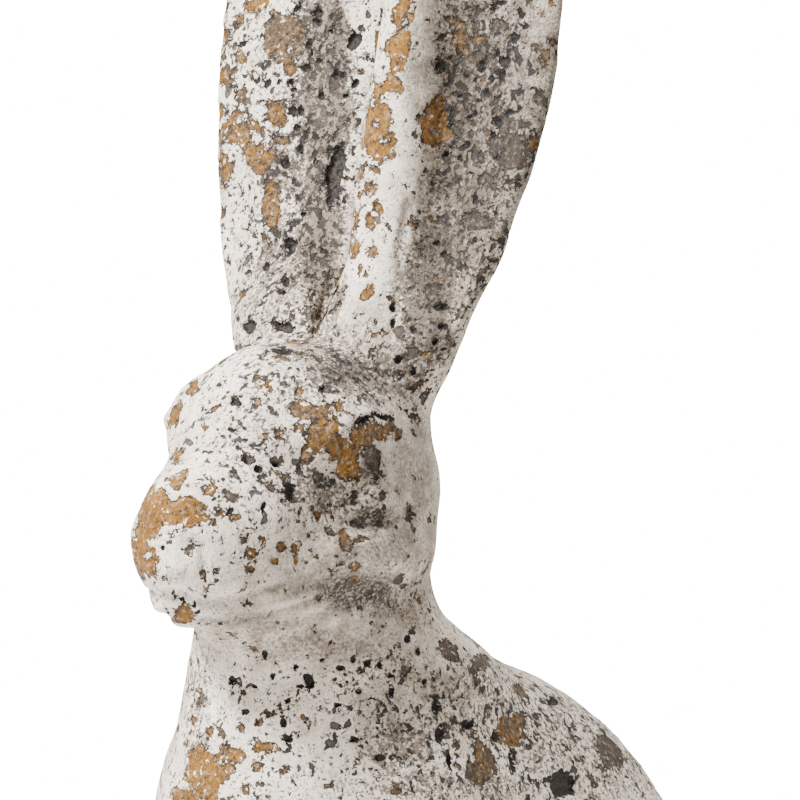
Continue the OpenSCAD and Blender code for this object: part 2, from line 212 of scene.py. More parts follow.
def columnTurns():
    # once round from the front by the left, with columns on the front and the back lines
    gain, width = fineness["columnGain"], fineness["columnWidth"]
    left = crowded(fineness["leftColumns"] + 1, 0, math.pi, math.radians(photo["turn"]), width, gain)
    right = crowded(fineness["rightColumns"] + 1, math.pi, 2 * math.pi, 2 * math.pi, width, gain / 2)
    return np.concatenate([left[:-1], right[:-1]])


turns = columnTurns()
leftHalf = np.arange(1, fineness["leftColumns"])
rightHalf = np.arange(fineness["leftColumns"] + 1, len(turns))


def planeRing(y, z, slope, forms, depth=0.0):
    # the skin's line in a plane through (0, y, z) that rises towards the back; y, z and slope are arrays
    y, z, slope = (np.atleast_1d(np.asarray(v, float))[:, None] for v in (y, z, slope))
    c = -np.cos(turns)[None, :] * np.ones_like(y)
    ray = unit(np.stack([np.sin(turns)[None, :] * np.ones_like(y), c, slope * c], -1))
    origin = np.stack([np.zeros_like(c), y + 0 * c, z + 0 * c], -1)
    return origin + ray * reach(origin, ray, bodySizes["length"], forms, depth)[..., None]


def bodySurface():
    # planes turn from the level ground to the tilted neck seat, and their rings lie closer towards the neck
    t = crowded(fineness["bodyRows"] + 1, 0, 1, *fineness["neckCrowd"])
    neckZ = bodySizes["height"] + neckSlope * neckY
    return planeRing(bellyY + (neckY - bellyY) * t, neckZ * t, neckSlope * t, allForms)


def oval(halfX, halfY, z):
    # a superellipse round the plate's centre
    c, s, power = np.cos(turns), np.sin(turns), 2 / bodySizes["plateCorners"]
    return np.stack([np.sign(s) * halfX * np.abs(s) ** power, bellyY - np.sign(c) * halfY * np.abs(c) ** power,
                     np.full_like(c, z)], -1)


def bodyHollow():
    # the plate's pocket, its ledge, then the trunk drawn in by the wall
    clear, ledge, wall = bodySizes["pocketClear"], bodySizes["ledge"], bodySizes["wall"]
    halfX, halfY = (plateHigh[:2] - plateLow[:2]) / 2
    pocketZ, top = plateHigh[2], bodySizes["height"] - bodySizes["hollowDrop"] - 2 * wall
    t = np.arange(1, fineness["hollowRows"]) / fineness["hollowRows"]
    trunk = planeRing(bellyY + (neckY - bellyY) * t, pocketZ + (top - pocketZ) * t, 0 * t, trunkSkin, wall)
    walls = [oval(halfX + clear, halfY + clear, z) for z in (0.0, pocketZ)]
    return np.concatenate([trunk[::-1], np.stack([oval(halfX - ledge, halfY - ledge, pocketZ)] + walls[::-1])])


def elevation(v):
    # the angle of each vector above level
    return np.arctan2(v[..., 2], np.linalg.norm(v[..., :2], axis=-1))


def headSurface(neckRing):
    # rays from a point in the skull that moves back a little on the way up, from the neck's ring to the crown's,
    # each as far as the skin and no farther than either seat's plane
    crown = planeRing(earY, earSeatZ, 0, allForms)[0]
    low = elevation(neckRing - [0, neckY, skullZ])
    high = elevation(crown - [0, earY, skullZ])
    t = np.linspace(0, 1, fineness["headRows"] + 1)[:, None]
    up = low + (high - low) * t
    eye = np.stack([0 * up, neckY + (earY - neckY) * t + 0 * up, skullZ + 0 * up], -1)
    ray = np.stack([np.sin(turns) * np.cos(up), -np.cos(turns) * np.cos(up), np.sin(up)], -1)
    down = neckSlope * ray[..., 1] - ray[..., 2]
    longest = headSizes["length"]
    limit = longest
    for gap, way in ((eye[..., 2] - bodySizes["height"] - neckSlope * eye[..., 1], down),
                     (earSeatZ - eye[..., 2], ray[..., 2])):
        limit = np.minimum(limit, np.where(way > least, gap / np.where(way > least, way, np.inf), longest))
    skin = eye + ray * reach(eye, ray, limit, allForms)[..., None]
    skin[0], skin[-1] = neckRing, crown
    return skin


def bump(u, at, wide):
    # a bell that is 1 at its place and falls by the square of the distance in widths
    return np.exp(-((u - at) / wide) ** 2)


def earLine(s, own):
    # centre line and half width at a share s of the height: a quarter sine out to the widest place, closed at the
    # tip by the root of 1 less a power of s
    e = earSizes
    midX = e["rootWidth"] / 2 + e["gap"] * e["width"] + e["spread"] * (1 - (1 - s) ** e["spreadPower"])
    swell = np.sin(math.pi / 2 * np.minimum(1, s / own["widest"]))
    halfWidth = (e["rootWidth"] + (e["width"] * (1 + e["tipLoss"]) - e["rootWidth"]) * swell) / 2
    halfWidth = halfWidth * np.sqrt(np.maximum(0, 1 - s ** e["tipPower"]))
    return midX, halfWidth, earY + e["back"] * e["setBack"] + e["lean"] * s


def earPoint(a, s, own):
    # once round an ear by the angle a: the back is a shallow dome by |sin a|; the front is a scoop by a bell of
    # cos a, between a tall inner roll and a low outer one
    u, h = np.cos(a), np.abs(np.sin(a))
    midX, halfWidth, midY = earLine(s, own)
    e = earSizes
    back = e["back"]
    rollHalf = e["rollWidth"] * e["width"] * (1 - e["rollTaper"] * s ** 3)
    fromRoll = np.abs(midX + halfWidth * u - e["rollAt"] * rollHalf) / rollHalf
    front = back * e["dome"] * h + own["roll"] * np.exp(-fromRoll ** e["rollPower"]) * np.sqrt(h)
    front = front + back * own["outer"] * bump(u, e["outerAt"], e["outerWidth"]) * np.sqrt(h)
    scooped = bump(u, e["scoopAt"], e["scoopWidth"]) * h * np.minimum(1, s / e["scoopStart"])
    front = front - back * own["scoop"] * scooped
    depth = np.where(np.sin(a) >= 0, -front, back * (1 - e["thinning"] * s) * h)
    thin = np.sqrt(np.maximum(0, 1 - s ** (e["tipPower"] + 2)))
    return np.stack(np.broadcast_arrays(midX + halfWidth * u, midY + depth * thin, earSeatZ + earHeight * s), -1)


def earSurface(crownHalf, own):
    # the outer columns start on the head's crown ring and the inner ones on the plane between the ears
    midX, _, midY = earLine(0.0, own)
    mid = np.array([midX, midY, earSeatZ])
    table = np.linspace(math.pi, -math.pi, samples + 1)
    outline = earPoint(table, 0.0, own) - mid
    bearing = np.unwrap(np.arctan2(-outline[:, 1], outline[:, 0]))
    outer = crownHalf.copy()
    outer[:, 0] = np.maximum(outer[:, 0], halfGap)
    wanted = np.unwrap(np.arctan2(-(outer - mid)[:, 1], (outer - mid)[:, 0]))
    aOuter = np.interp(-wanted, -bearing, table)
    aInner = np.linspace(aOuter[-1], aOuter[0] - 2 * math.pi, fineness["innerColumns"] + 2)[1:-1]
    direction = unit(earPoint(aInner, 0.0, own) - mid)
    wall = (mid[0] - halfGap) / np.maximum(-direction[:, 0], least)
    wall = np.minimum(np.where(direction[:, 0] < 0, wall, np.inf), earSizes["widestReach"])
    inner = mid + direction * wall[:, None]
    inner[:, 1] = np.clip(inner[:, 1], outer[0, 1], outer[-1, 1])
    root = np.concatenate([outer, inner])
    a = np.concatenate([aOuter, aInner])[None, :]
    t = np.linspace(0, 1, fineness["earRows"] + 1)[:-1, None]
    s = 1 - (1 - t) ** fineness["tipCrowd"]
    w = np.minimum(1, s / earSizes["ease"])
    ease = (1 - w * w * (3 - 2 * w))[..., None]
    skin = earPoint(a, s, own) + (root - earPoint(a, 0.0, own)) * ease
    skin[..., 0] = np.maximum(skin[..., 0], halfGap)
    return skin


bodyShape = bodySurface()
headShape = headSurface(bodyShape[-1])
leftShape = earSurface(headShape[-1][leftHalf], leftEar)
flip = np.array([-1.0, 1.0, 1.0])  # to the other side of the hare
rightCrown = (headShape[-1][rightHalf] * flip)[::-1]
rightShape = earSurface(rightCrown, rightEar) * flip
grids = [bodyShape, headShape, leftShape, rightShape]
print("hare: surfaces worked out")


def viewAxes():
    # right, up and towards the camera, for the photograph's turn and rise
    a, e = math.radians(photo["turn"]), math.radians(photo["rise"])
    right = np.array([math.cos(a), math.sin(a), 0])
    up = np.array([-math.sin(a) * math.sin(e), math.cos(a) * math.sin(e), math.cos(e)])
    return right, up, np.cross(right, up)


def frameCentre():
    # the point in the plane of the neck's axis that the photograph's middle shows
    right, up, _ = viewAxes()
    middle = photo["size"] / 2
    return (right * (middle - photo["column"]) + up * (photo["groundRow"] - middle)) * photo["pixel"]


def photoPlace(p):
    # pixel column, pixel row and nearness to the camera of points measured from the neck's axis
    right, up, toward = viewAxes()
    q = p - frameCentre()
    near = q @ toward
    grow = photo["distance"] / (photo["distance"] - near) / photo["pixel"]
    return photo["size"] / 2 + q @ right * grow, photo["size"] / 2 - q @ up * grow, near


# rows each side of the seam between the head and an ear that are drawn smooth, and how often
seam = {"rows": 34, "passes": 70}


def drawSeam(head, columns, ear):
    # each row is drawn towards its neighbours, most at the seam and not at all at the ends
    rows, outer = seam["rows"], len(columns)
    before = ear[:rows, :outer].copy()
    stack = np.concatenate([head[-rows:, columns], ear[1:rows, :outer]])
    give = np.sin(math.pi * np.arange(len(stack)) / (len(stack) - 1))[1:-1, None, None] / 2
    for _ in range(seam["passes"]):
        stack[1:-1] += ((stack[:-2] + stack[2:]) / 2 - stack[1:-1]) * give
    head[-rows:, columns] = stack[:rows]
    ear[:rows, :outer] = stack[rows - 1:]
    moved = ear[:rows, :outer] - before
    share = ((np.arange(ear.shape[1] - outer) + 1) / (ear.shape[1] - outer + 1))[:, None]
    ear[:rows, outer:] += moved[:, -1:] * (1 - share) + moved[:, :1] * share


def keepApart():
    # the ears stay on their own sides of the plane between them
    leftShape[..., 0] = np.maximum(leftShape[..., 0], halfGap)
    rightShape[..., 0] = np.minimum(rightShape[..., 0], -halfGap)


drawSeam(headShape, leftHalf, leftShape)
drawSeam(headShape, rightHalf[::-1], rightShape)
for line in (0, fineness["leftColumns"]):
    sides = headShape[-seam["rows"]:, [line - 1, line + 1]]
    headShape[-seam["rows"]:, line] = sides.mean(1) * [0, 1, 1]
keepApart()


def gridNormals(grid, sign):
    # across the columns, round the ring, times up the rows
    return sign * unit(np.cross(np.roll(grid, -1, 1) - np.roll(grid, 1, 1), np.gradient(grid, axis=0)) + 1e-12)


def shareRings(body, head, left, right, joined):
    # the last ring of one surface and the first of the next get the same values
    every = np.arange(len(turns))
    for one, oneColumns, other, otherColumns in ((body, every, head, every),
                                                 (head, leftHalf, left, np.arange(len(leftHalf))),
                                                 (head, rightHalf[::-1], right, np.arange(len(rightHalf)))):
        shared = joined(one[-1, oneColumns] + other[0, otherColumns])
        one[-1, oneColumns] = other[0, otherColumns] = shared


def noise(p, size, seed):
    # smooth random values from -1 to 1 on a lattice of the given size, turned so that it follows no axis
    side = 32
    rng = np.random.default_rng(seed)
    table = rng.uniform(-1, 1, side ** 3).astype(np.float32)
    spin = np.linalg.qr(rng.normal(size=(3, 3)))[0]
    q = p @ spin / size + rng.uniform(0, side, 3)
    base = np.floor(q).astype(np.int64)
    f = (q - base).astype(np.float32)
    f = f * f * (3 - 2 * f)
    total = 0
    for i in (0, 1):
        for j in (0, 1):
            weight = (f[..., 0] if i else 1 - f[..., 0]) * (f[..., 1] if j else 1 - f[..., 1])
            cell = ((base[..., 0] + i) % side * side + (base[..., 1] + j) % side) * side
            low, high = table[cell + base[..., 2] % side], table[cell + (base[..., 2] + 1) % side]
            total = total + weight * (low + (high - low) * f[..., 2])
    return total


def step(x, low, high):
    # 0 up to low and 1 from high, and 3t squared less 2t cubed between
    t = np.clip((x - low) / (high - low), 0, 1)
    return t * t * (3 - 2 * t)


def lineGap(points, line):
    # least distance from the points to a line of straight pieces
    best = np.full(len(points), np.inf)
    line = np.asarray(line, float)
    for a, b in zip(line[:-1], line[1:]):
        t = np.clip((points - a) @ (b - a) / ((b - a) @ (b - a)), 0, 1)
        best = np.minimum(best, np.linalg.norm(points - a - t[:, None] * (b - a), axis=1))
    return best


# worn carving that shows in the photograph: points in pixels, half width in pixels, height in mm; the face
# is the same on both sides
faceLines = [
    (((196, 634), (215, 638), (250, 633), (300, 622), (350, 606)), 6.0, -3.4),
    (((205, 619), (235, 622), (270, 614), (320, 600)), 4.0, -2.2),
    (((200, 607), (235, 611), (275, 602), (320, 590)), 6.0, 1.8),
    (((178, 597), (205, 600), (240, 596), (280, 584)), 4.0, -2.2),
    (((202, 545), (205, 570), (206, 594)), 3.5, -1.0),
    (((140, 583), (158, 589), (182, 599)), 6.0, -3.6),
    (((350, 502), (363, 485), (385, 480), (403, 492), (409, 512)), 4.0, -1.2),
    (((356, 512), (374, 523), (394, 520), (405, 508)), 4.0, -0.9),
    (((404, 476), (418, 503), (417, 534), (402, 560)), 8.0, 1.6),
    (((336, 430), (362, 417), (392, 421), (410, 438)), 9.0, 1.6),
    (((230, 640), (280, 634), (340, 626), (400, 600)), 9.0, -1.0),
]
faceRounds = [
    (384, 500, 19, 15, 1.0), (370, 524, 26, 11, -2.4), (354, 592, 42, 16, -3.4), (188, 546, 13, 10, -0.9),
    (170, 573, 15, 12, 1.6), (255, 582, 48, 24, 1.4), (195, 612, 15, 12, 1.0), (290, 470, 40, 34, -0.8),
    (372, 378, 46, 14, -1.6), (412, 400, 18, 20, -1.0), (225, 540, 22, 20, 0.8),
]
earLines = [
    (((345, 292), (333, 314), (318, 336)), 4.0, -1.6), (((352, 305), (342, 325), (330, 343)), 3.0, -1.1),
    (((326, 290), (322, 312), (306, 332)), 3.0, -0.9), (((408, 205), (400, 250), (399, 300), (390, 345)), 5.0, -1.2),
    (((448, 0), (450, 100), (436, 190), (422, 260)), 16.0, -1.5), (((366, 260), (352, 320), (346, 352)), 9.0, 1.0),
    (((468, 270), (450, 310), (430, 352)), 6.0, -0.9), (((246, 250), (262, 300), (284, 335)), 7.0, -0.8),
]
earRounds = [(258, 140, 20, 90, 0.9), (330, 250, 16, 40, -1.4), (505, 130, 20, 60, 0.8), (415, 330, 14, 24, -1.0)]
# on the body, in mm from the neck's axis, the same on both sides: toes and the edge of the thigh
bodyLines = [
    (((22, -99, 2), (22, -94, 20), (24, -76, 36)), 2.6, -2.2),
    (((33, -99, 2), (33, -95, 21), (33, -76, 38)), 2.6, -2.2),
    (((44, -97, 2), (44, -92, 20), (42, -76, 36)), 2.6, -2.2), (((55, -14, 2), (55, -8, 22), (57, 12, 38)), 2.8, -2.2),
    (((66, -17, 2), (66, -10, 23), (66, 12, 40)), 2.8, -2.2), (((77, -14, 2), (77, -7, 22), (75, 12, 38)), 2.8, -2.2),
    (((94, 34, 36), (97, 36, 78), (92, 58, 128), (78, 98, 158), (64, 140, 166)), 7.0, -3.4),
    (((58, -36, 30), (60, -30, 80), (68, -10, 120)), 7.0, -2.4), (((12, 250, 30), (24, 238, 70)), 5.0, -1.0),
]
lumps = ((1.0, 46.0, 11), (0.7, 20.0, 12), (0.4, 8.5, 13))  # height, size and seed


def noises(p, layers):
    # noise layers added up, each times its height
    return sum(height * noise(p, size, seed) for height, size, seed in layers)


def carved(p, n, lines, rounds, fold):
    # the sum of bell-shaped strokes and patches, placed by pixel, where the surface faces the camera
    if fold:
        other = p[:, 0] < 0
        p, n = np.where(other[:, None], p * flip, p), np.where(other[:, None], n * flip, n)
    column, row, _ = photoPlace(p)
    pixels = np.stack([column, row], -1)
    total = np.zeros(len(p))
    for line, half, height in lines:
        total += height * np.exp(-(lineGap(pixels, line) / half) ** 2)
    for x, y, halfX, halfY, height in rounds:
        total += height * np.exp(-((column - x) / halfX) ** 2 - ((row - y) / halfY) ** 2)
    return total * step(n @ viewAxes()[2], 0.0, 0.25)


def worn(grid, normal, strokes):
    # how high each vertex is raised along its normal: the strokes on it and the casting's lumps
    p, n = grid.reshape(-1, 3), normal.reshape(-1, 3)
    high = sum(carved(p, n, *stroke) for stroke in strokes) + noises(p, lumps)
    return high.reshape(grid.shape[:2])


def bodyCarving(grid):
    # strokes in space on both sides of the body, each a bell across its line
    p = np.abs(grid.reshape(-1, 3) * [1, 0, 0]) + grid.reshape(-1, 3) * [0, 1, 1]
    total = sum(height * np.exp(-(lineGap(p, line) / half) ** 2) for line, half, height in bodyLines)
    return total.reshape(grid.shape[:2])


normals = [gridNormals(grid, sign) for grid, sign in zip(grids, (1, 1, 1, -1))]
shareRings(*normals, unit)
faceStrokes, earStrokes = (faceLines, faceRounds, True), (earLines, earRounds, False)
rises = [worn(grid, normal, strokes) for grid, normal, strokes in
         zip(grids, normals, ([faceStrokes], [faceStrokes, earStrokes], [earStrokes], [earStrokes]))]
rises[0] += bodyCarving(bodyShape)
shareRings(*rises, lambda both: both / 2)
rises[0] *= step(bodyShape[..., 2], 0.0, 5.0)
for grid, normal, rise in zip(grids, normals, rises):
    grid += normal * rise[..., None]
keepApart()
print("hare: carving and lumps added")


# what shows in the photograph: pixel column and row, half width and height, and the turn in degrees where
# there is one; the chips by their tone, from 0, bright ochre, to 1, dark olive brown
chips = {
    0.0: [(183, 515, 26, 15), (151, 508, 18, 27), (144, 548, 15, 32, 8), (182, 482, 10, 13, 35)],
    0.1: [
        (404, 12, 14, 16), (399, 48, 17, 22), (388, 86, 17, 18), (380, 132, 21, 27), (374, 187, 5, 6),
        (380, 206, 4, 8), (367, 292, 6, 9, 30), (284, 357, 8, 3), (346, 460, 14, 20), (213, 491, 5, 8),
        (175, 415, 6, 17, 20), (177, 454, 5, 11, 25), (181, 612, 9, 12, 35), (201, 772, 18, 26), (189, 795, 26, 7),
    ],
    0.15: [
        (257, 5, 13, 10), (227, 76, 8, 11), (360, 171, 5, 8), (376, 170, 5, 5), (355, 221, 4, 11), (301, 393, 4, 6),
        (231, 756, 17, 9), (192, 720, 4, 4),
    ],
    0.18: [(439, 121, 16, 26)],
    0.2: [
        (289, 67, 8, 11), (225, 35, 5, 9), (243, 60, 6, 7), (277, 109, 9, 14, -20), (236, 128, 16, 17),
        (260, 155, 18, 14), (225, 168, 6, 19), (218, 110, 4, 8), (246, 141, 8, 9), (360, 196, 4, 5), (359, 209, 2, 4),
        (354, 245, 6, 12), (373, 253, 7, 8), (360, 272, 3, 6), (479, 40, 9, 5), (544, 62, 5, 8), (534, 142, 6, 7),
        (507, 232, 3, 5), (502, 242, 2, 5), (494, 247, 3, 3), (495, 259, 4, 3), (268, 386, 3, 7), (254, 404, 5, 6),
        (298, 430, 8, 5), (278, 434, 4, 5), (191, 387, 7, 7), (277, 561, 5, 5), (295, 547, 5, 7), (328, 424, 14, 9),
        (334, 454, 12, 12), (224, 773, 8, 8), (267, 747, 12, 6), (209, 733, 4, 7),
    ],
    0.25: [
        (256, 126, 8, 6), (273, 222, 5, 10), (459, 38, 9, 24, -6), (338, 407, 7, 6), (251, 569, 3, 3),
        (281, 547, 5, 7),
    ],
    0.3: [
        (238, 23, 5, 9), (244, 95, 6, 7), (282, 138, 11, 6), (271, 202, 12, 27, -4), (263, 239, 4, 8), (233, 47, 4, 4),
        (370, 219, 6, 8), (306, 455, 7, 10), (395, 436, 8, 6), (205, 428, 3, 4), (261, 540, 4, 7), (252, 555, 6, 9),
        (235, 518, 6, 4), (215, 524, 3, 3), (297, 560, 2, 8), (356, 567, 5, 5), (204, 580, 2, 11), (217, 572, 4, 3),
        (362, 436, 14, 12), (241, 727, 4, 5), (259, 721, 3, 5), (256, 766, 6, 5), (284, 771, 6, 4), (246, 791, 4, 5),
        (513, 728, 20, 14, -40),
    ],
    0.35: [(320, 440, 14, 18), (376, 426, 22, 10, 4)],
    0.4: [
        (552, 41, 4, 6), (518, 180, 2, 5), (450, 20, 6, 5), (347, 542, 6, 14, -15), (362, 541, 10, 4, -15),
        (399, 790, 7, 5),
    ],
    0.42: [(306, 414, 25, 12)],
    0.45: [(482, 763, 15, 22)],
    0.5: [(286, 38, 22, 27), (413, 416, 4, 3), (285, 478, 6, 4), (228, 492, 5, 4), (519, 689, 6, 11, -30)],
    0.6: [(536, 99, 7, 9), (501, 181, 10, 4), (436, 289, 9, 10), (398, 578, 4, 6, 20), (200, 701, 4, 10)],
    0.65: [(482, 664, 16, 8, -35)],
    0.7: [(467, 60, 16, 5), (502, 26, 9, 7), (531, 75, 5, 4), (519, 124, 10, 8), (490, 58, 5, 5), (496, 110, 4, 5)],
    0.8: [
        (476, 12, 7, 6), (535, 45, 7, 8), (521, 93, 6, 7), (484, 180, 6, 7), (478, 221, 15, 8), (288, 481, 5, 6),
        (609, 753, 13, 17, -35),
    ],
    0.85: [(450, 651, 6, 15, -35)],
    0.9: [(479, 25, 4, 6), (453, 148, 3, 2), (301, 470, 4, 5), (296, 502, 5, 4)],
    0.95: [(497, 138, 9, 8), (373, 458, 8, 18), (277, 460, 6, 5), (232, 497, 8, 6)],
    1.0: [
        (517, 150, 19, 17, -30), (469, 307, 5, 3), (482, 156, 5, 6), (475, 58, 7, 7), (454, 58, 5, 4),
        (466, 106, 4, 7), (500, 121, 9, 7), (456, 131, 6, 6), (250, 463, 8, 6), (270, 490, 5, 5), (262, 478, 5, 4),
        (318, 478, 5, 5),
    ],
}
# scraps of paint left inside chips, and deep pits
paintIslands = [
    (152, 544, 4, 4), (148, 556, 4, 3), (391, 98, 9, 6), (384, 62, 5, 7), (376, 124, 3, 3), (386, 140, 4, 2),
    (392, 128, 2, 4), (405, 22, 3, 5), (412, 8, 3, 4), (240, 120, 3, 4), (181, 528, 4, 3), (165, 540, 5, 7),
    (392, 440, 3, 6), (330, 416, 3, 3),
]
pits = [
    (355, 40, 9, 8), (307, 68, 6, 4), (292, 245, 6, 9), (250, 326, 8, 8), (283, 326, 10, 6, 35), (285, 281, 4, 5),
    (336, 74, 4, 4), (355, 83, 4, 4), (281, 293, 5, 3), (520, 13, 4, 5), (514, 38, 4, 4), (500, 73, 5, 6),
    (476, 243, 4, 4), (442, 307, 7, 4), (442, 327, 5, 3), (444, 348, 4, 2), (393, 309, 3, 5), (400, 361, 4, 5),
    (291, 493, 5, 10), (398, 360, 3, 5), (427, 381, 2, 4), (310, 680, 6, 7), (232, 680, 4, 4), (290, 739, 4, 5),
    (353, 739, 6, 3), (378, 757, 6, 3), (393, 691, 3, 5), (436, 705, 3, 8), (441, 735, 5, 9), (513, 761, 4, 10),
    (450, 760, 4, 9), (417, 653, 2, 3), (469, 723, 8, 6), (552, 702, 5, 6), (563, 785, 14, 14), (337, 175, 9, 33, 12),
    (282, 351, 14, 3), (364, 418, 9, 3, -28), (382, 415, 11, 3, 14), (258, 470, 5, 4), (352, 660, 2, 3),
    (176, 598, 4, 2), (194, 604, 2, 4), (251, 37, 2, 4), (278, 83, 2, 3), (312, 54, 2, 4), (291, 83, 4, 5),
    (262, 100, 4, 2), (226, 110, 2, 2), (493, 8, 3, 5), (501, 3, 6, 3), (521, 71, 2, 2), (438, 65, 2, 6),
]
# small pits by their half width and height
smallPits = {
    (3, 3): [
        (305, 214), (481, 62), (448, 155), (475, 261), (435, 341), (324, 388), (162, 548), (232, 430), (266, 654),
        (238, 404), (296, 668), (366, 662), (378, 666), (272, 676), (288, 700), (360, 690), (182, 600), (343, 75),
        (298, 126), (497, 53), (492, 79), (486, 92), (474, 114), (468, 144), (345, 96), (294, 89), (330, 30),
    ],
    (5, 5): [
        (317, 11), (301, 110), (503, 60), (495, 123), (497, 737), (293, 110), (286, 164),
    ],
    (3, 4): [
        (267, 267), (523, 26), (508, 111), (470, 116), (475, 199), (392, 323), (413, 329), (413, 372), (425, 682),
        (246, 462), (230, 512), (262, 508), (392, 676), (284, 722), (408, 640), (299, 8), (257, 78), (266, 83),
        (310, 45), (492, 133), (322, 95), (300, 150),
    ],
    (3, 2): [
        (471, 173), (322, 660), (346, 682), (300, 686), (254, 686), (338, 704), (244, 712), (198, 612), (481, 69),
        (467, 76), (475, 80), (498, 97), (479, 101), (461, 96), (460, 157), (498, 157),
    ],
    (4, 3): [
        (437, 243), (444, 254), (235, 402), (276, 464), (340, 668), (241, 45), (317, 21), (320, 60),
    ],
}
# soft patches by what they add: column, row, half width, half height, strength
patches = {
    # painted shade on the near ear's scoop and flank, which turn away from the key light
    "shade": [
        (478, 110, 46, 200, 0.36), (528, 90, 46, 190, 0.4), (448, 260, 34, 70, 0.3),
    ],
    # tan dirt, and painted shade where the head's right side, the throat and the near ear's flank and scoop turn away
    # from the light
    "tanAndShade": [
        (310, 640, 140, 26, 1.05), (415, 505, 30, 120, 0.95), (280, 285, 55, 32, 0.5), (375, 325, 34, 34, 0.5),
        (470, 110, 60, 260, 1.2), (530, 60, 60, 260, 1.1), (400, 610, 46, 50, 0.85), (430, 130, 15, 190, 0.5),
        (345, 555, 90, 60, 0.85), (420, 690, 60, 60, 0.8), (300, 600, 100, 36, 0.7), (370, 470, 50, 50, 0.8),
    ],
    "smooth": [
        (400, 165, 16, 75, 1.0), (367, 285, 28, 65, 0.8), (195, 570, 35, 30, 0.7), (285, 605, 60, 35, 0.9),
        (315, 643, 130, 22, 1.5), (412, 520, 32, 90, 1.0), (330, 560, 60, 40, 0.6), (540, 240, 24, 120, 0.5),
        (424, 80, 13, 160, 0.9), (545, 30, 22, 90, 0.5),
    ],
    "speck": [
        (310, 150, 56, 190, 1.1), (485, 130, 62, 200, 0.95), (330, 368, 110, 40, 0.8), (325, 500, 75, 42, 0.6),
        (262, 440, 75, 60, 0.6), (345, 690, 90, 32, 0.6), (520, 740, 150, 80, 0.8), (320, 750, 130, 60, 0.3),
        (260, 250, 50, 90, 0.7), (258, 100, 44, 130, 0.9),
    ],
    # grime, and painted shade under the eye, the cheek and the nose, in the crease between the ears and along the near
    # ear's flank
    "grimeAndShade": [
        (374, 517, 26, 14, 1.2), (357, 590, 44, 19, 1.3), (326, 487, 13, 12, 0.6), (370, 462, 12, 22, 0.65),
        (345, 372, 38, 16, 0.6), (288, 460, 30, 24, 0.3), (250, 620, 60, 8, 0.6), (205, 520, 16, 8, 0.3),
        (177, 573, 12, 8, 0.5), (201, 562, 6, 14, 0.4), (190, 539, 14, 6, 0.45), (412, 60, 7, 90, 0.3),
        (300, 585, 30, 14, 0.45), (436, 250, 20, 70, 0.35), (340, 40, 16, 60, 0.4), (385, 722, 40, 24, 0.3),
        (425, 285, 26, 60, 0.5), (392, 362, 40, 30, 0.5), (385, 545, 26, 20, 0.35), (422, 475, 16, 50, 0.2),
    ],
    "bare": [
        (325, 90, 27, 140, 1.1), (322, 240, 24, 110, 0.95), (285, 260, 34, 70, 0.5), (474, 90, 38, 140, 0.5),
        (462, 205, 48, 90, 0.6), (428, 300, 36, 70, 0.9), (434, 270, 34, 66, 0.9), (276, 50, 20, 50, 0.25),
        (290, 170, 34, 44, 0.6), (382, 380, 34, 26, 0.7), (310, 497, 36, 26, 0.55), (300, 398, 40, 32, 0.35),
        (505, 140, 34, 60, 0.3), (470, 190, 30, 60, 0.4), (372, 505, 30, 36, 0.25), (364, 592, 38, 20, 0.2),
        (345, 375, 46, 26, 0.65), (325, 345, 80, 22, 0.5), (410, 360, 26, 50, 0.5), (385, 660, 40, 22, 0.4),
        (196, 700, 18, 70, 0.4), (402, 745, 40, 34, 0.55), (450, 788, 110, 22, 0.4), (620, 775, 50, 40, 0.3),
        (570, 730, 80, 60, 0.3), (300, 650, 90, 16, 0.3), (360, 500, 40, 60, 0.3), (400, 590, 40, 50, 0.3),
        (262, 430, 60, 50, 0.15), (480, 700, 60, 40, 0.35), (260, 320, 40, 26, 0.4),
    ],
}


spans = np.cumsum([0] + [grid.shape[0] * grid.shape[1] for grid in grids])
points = np.concatenate([grid.reshape(-1, 3) for grid in grids])
facing = np.concatenate([normal.reshape(-1, 3) for normal in normals])
column, row, depth = photoPlace(points)
toCamera = facing @ viewAxes()[2]


# how far past the photograph its wear runs on and fades, in pixels, and how a vertex counts as seen
seeing = {
    "square": 5, "cells": 300, "border": 60, "thickness": 14.0, "above": 150, "below": 90,
    "fadeAbove": (-130, -20), "fadeBelow": (-50, 0), "turnedAway": -0.3, "fadeTurned": (-0.15, 0.2),
    "patchSway": 2.0, "swayedPatch": 26,
}
# how marks are bent out of shape, in pixels: height, size in mm and seed for columns; rows take the next seed
swaying = ((6.0, 12.0, 21), (5.0, 5.5, 31), (3.0, 2.8, 41))
# the gap in mm that counts as far outside or inside a mark, how far round it to look and where it sways in full,
# both in pixels, and the depth in mm past which it doesn't reach surfaces behind
markEdge = {"none": -4.0, "most": 6.0, "search": 18, "fullSway": 12, "flat": 9.0, "behind": 6.0}


def seenByCamera():
    # a vertex is seen where nothing in its small square of the photograph lies much nearer
    cells = seeing["cells"]
    down, across = (np.clip(v // seeing["square"] + seeing["border"], 0, cells - 1).astype(int) for v in (row, column))
    cell = down * cells + across
    front = np.full(cells * cells, -np.inf)
    np.maximum.at(front, cell, depth)
    return depth > front[cell] - seeing["thickness"]


inFrame = seenByCamera() & (row < photo["size"] + seeing["below"]) & (row > -seeing["above"])
nearSide = inFrame & (toCamera > seeing["turnedAway"])
seen = (inFrame * step(toCamera, *seeing["fadeTurned"]) * step(photo["size"] - row, *seeing["fadeBelow"])
        * step(row, *seeing["fadeAbove"]))
sway = np.stack([noises(points, [(height, size, seed + i) for height, size, seed in swaying]) for i in (0, 1)], -1)


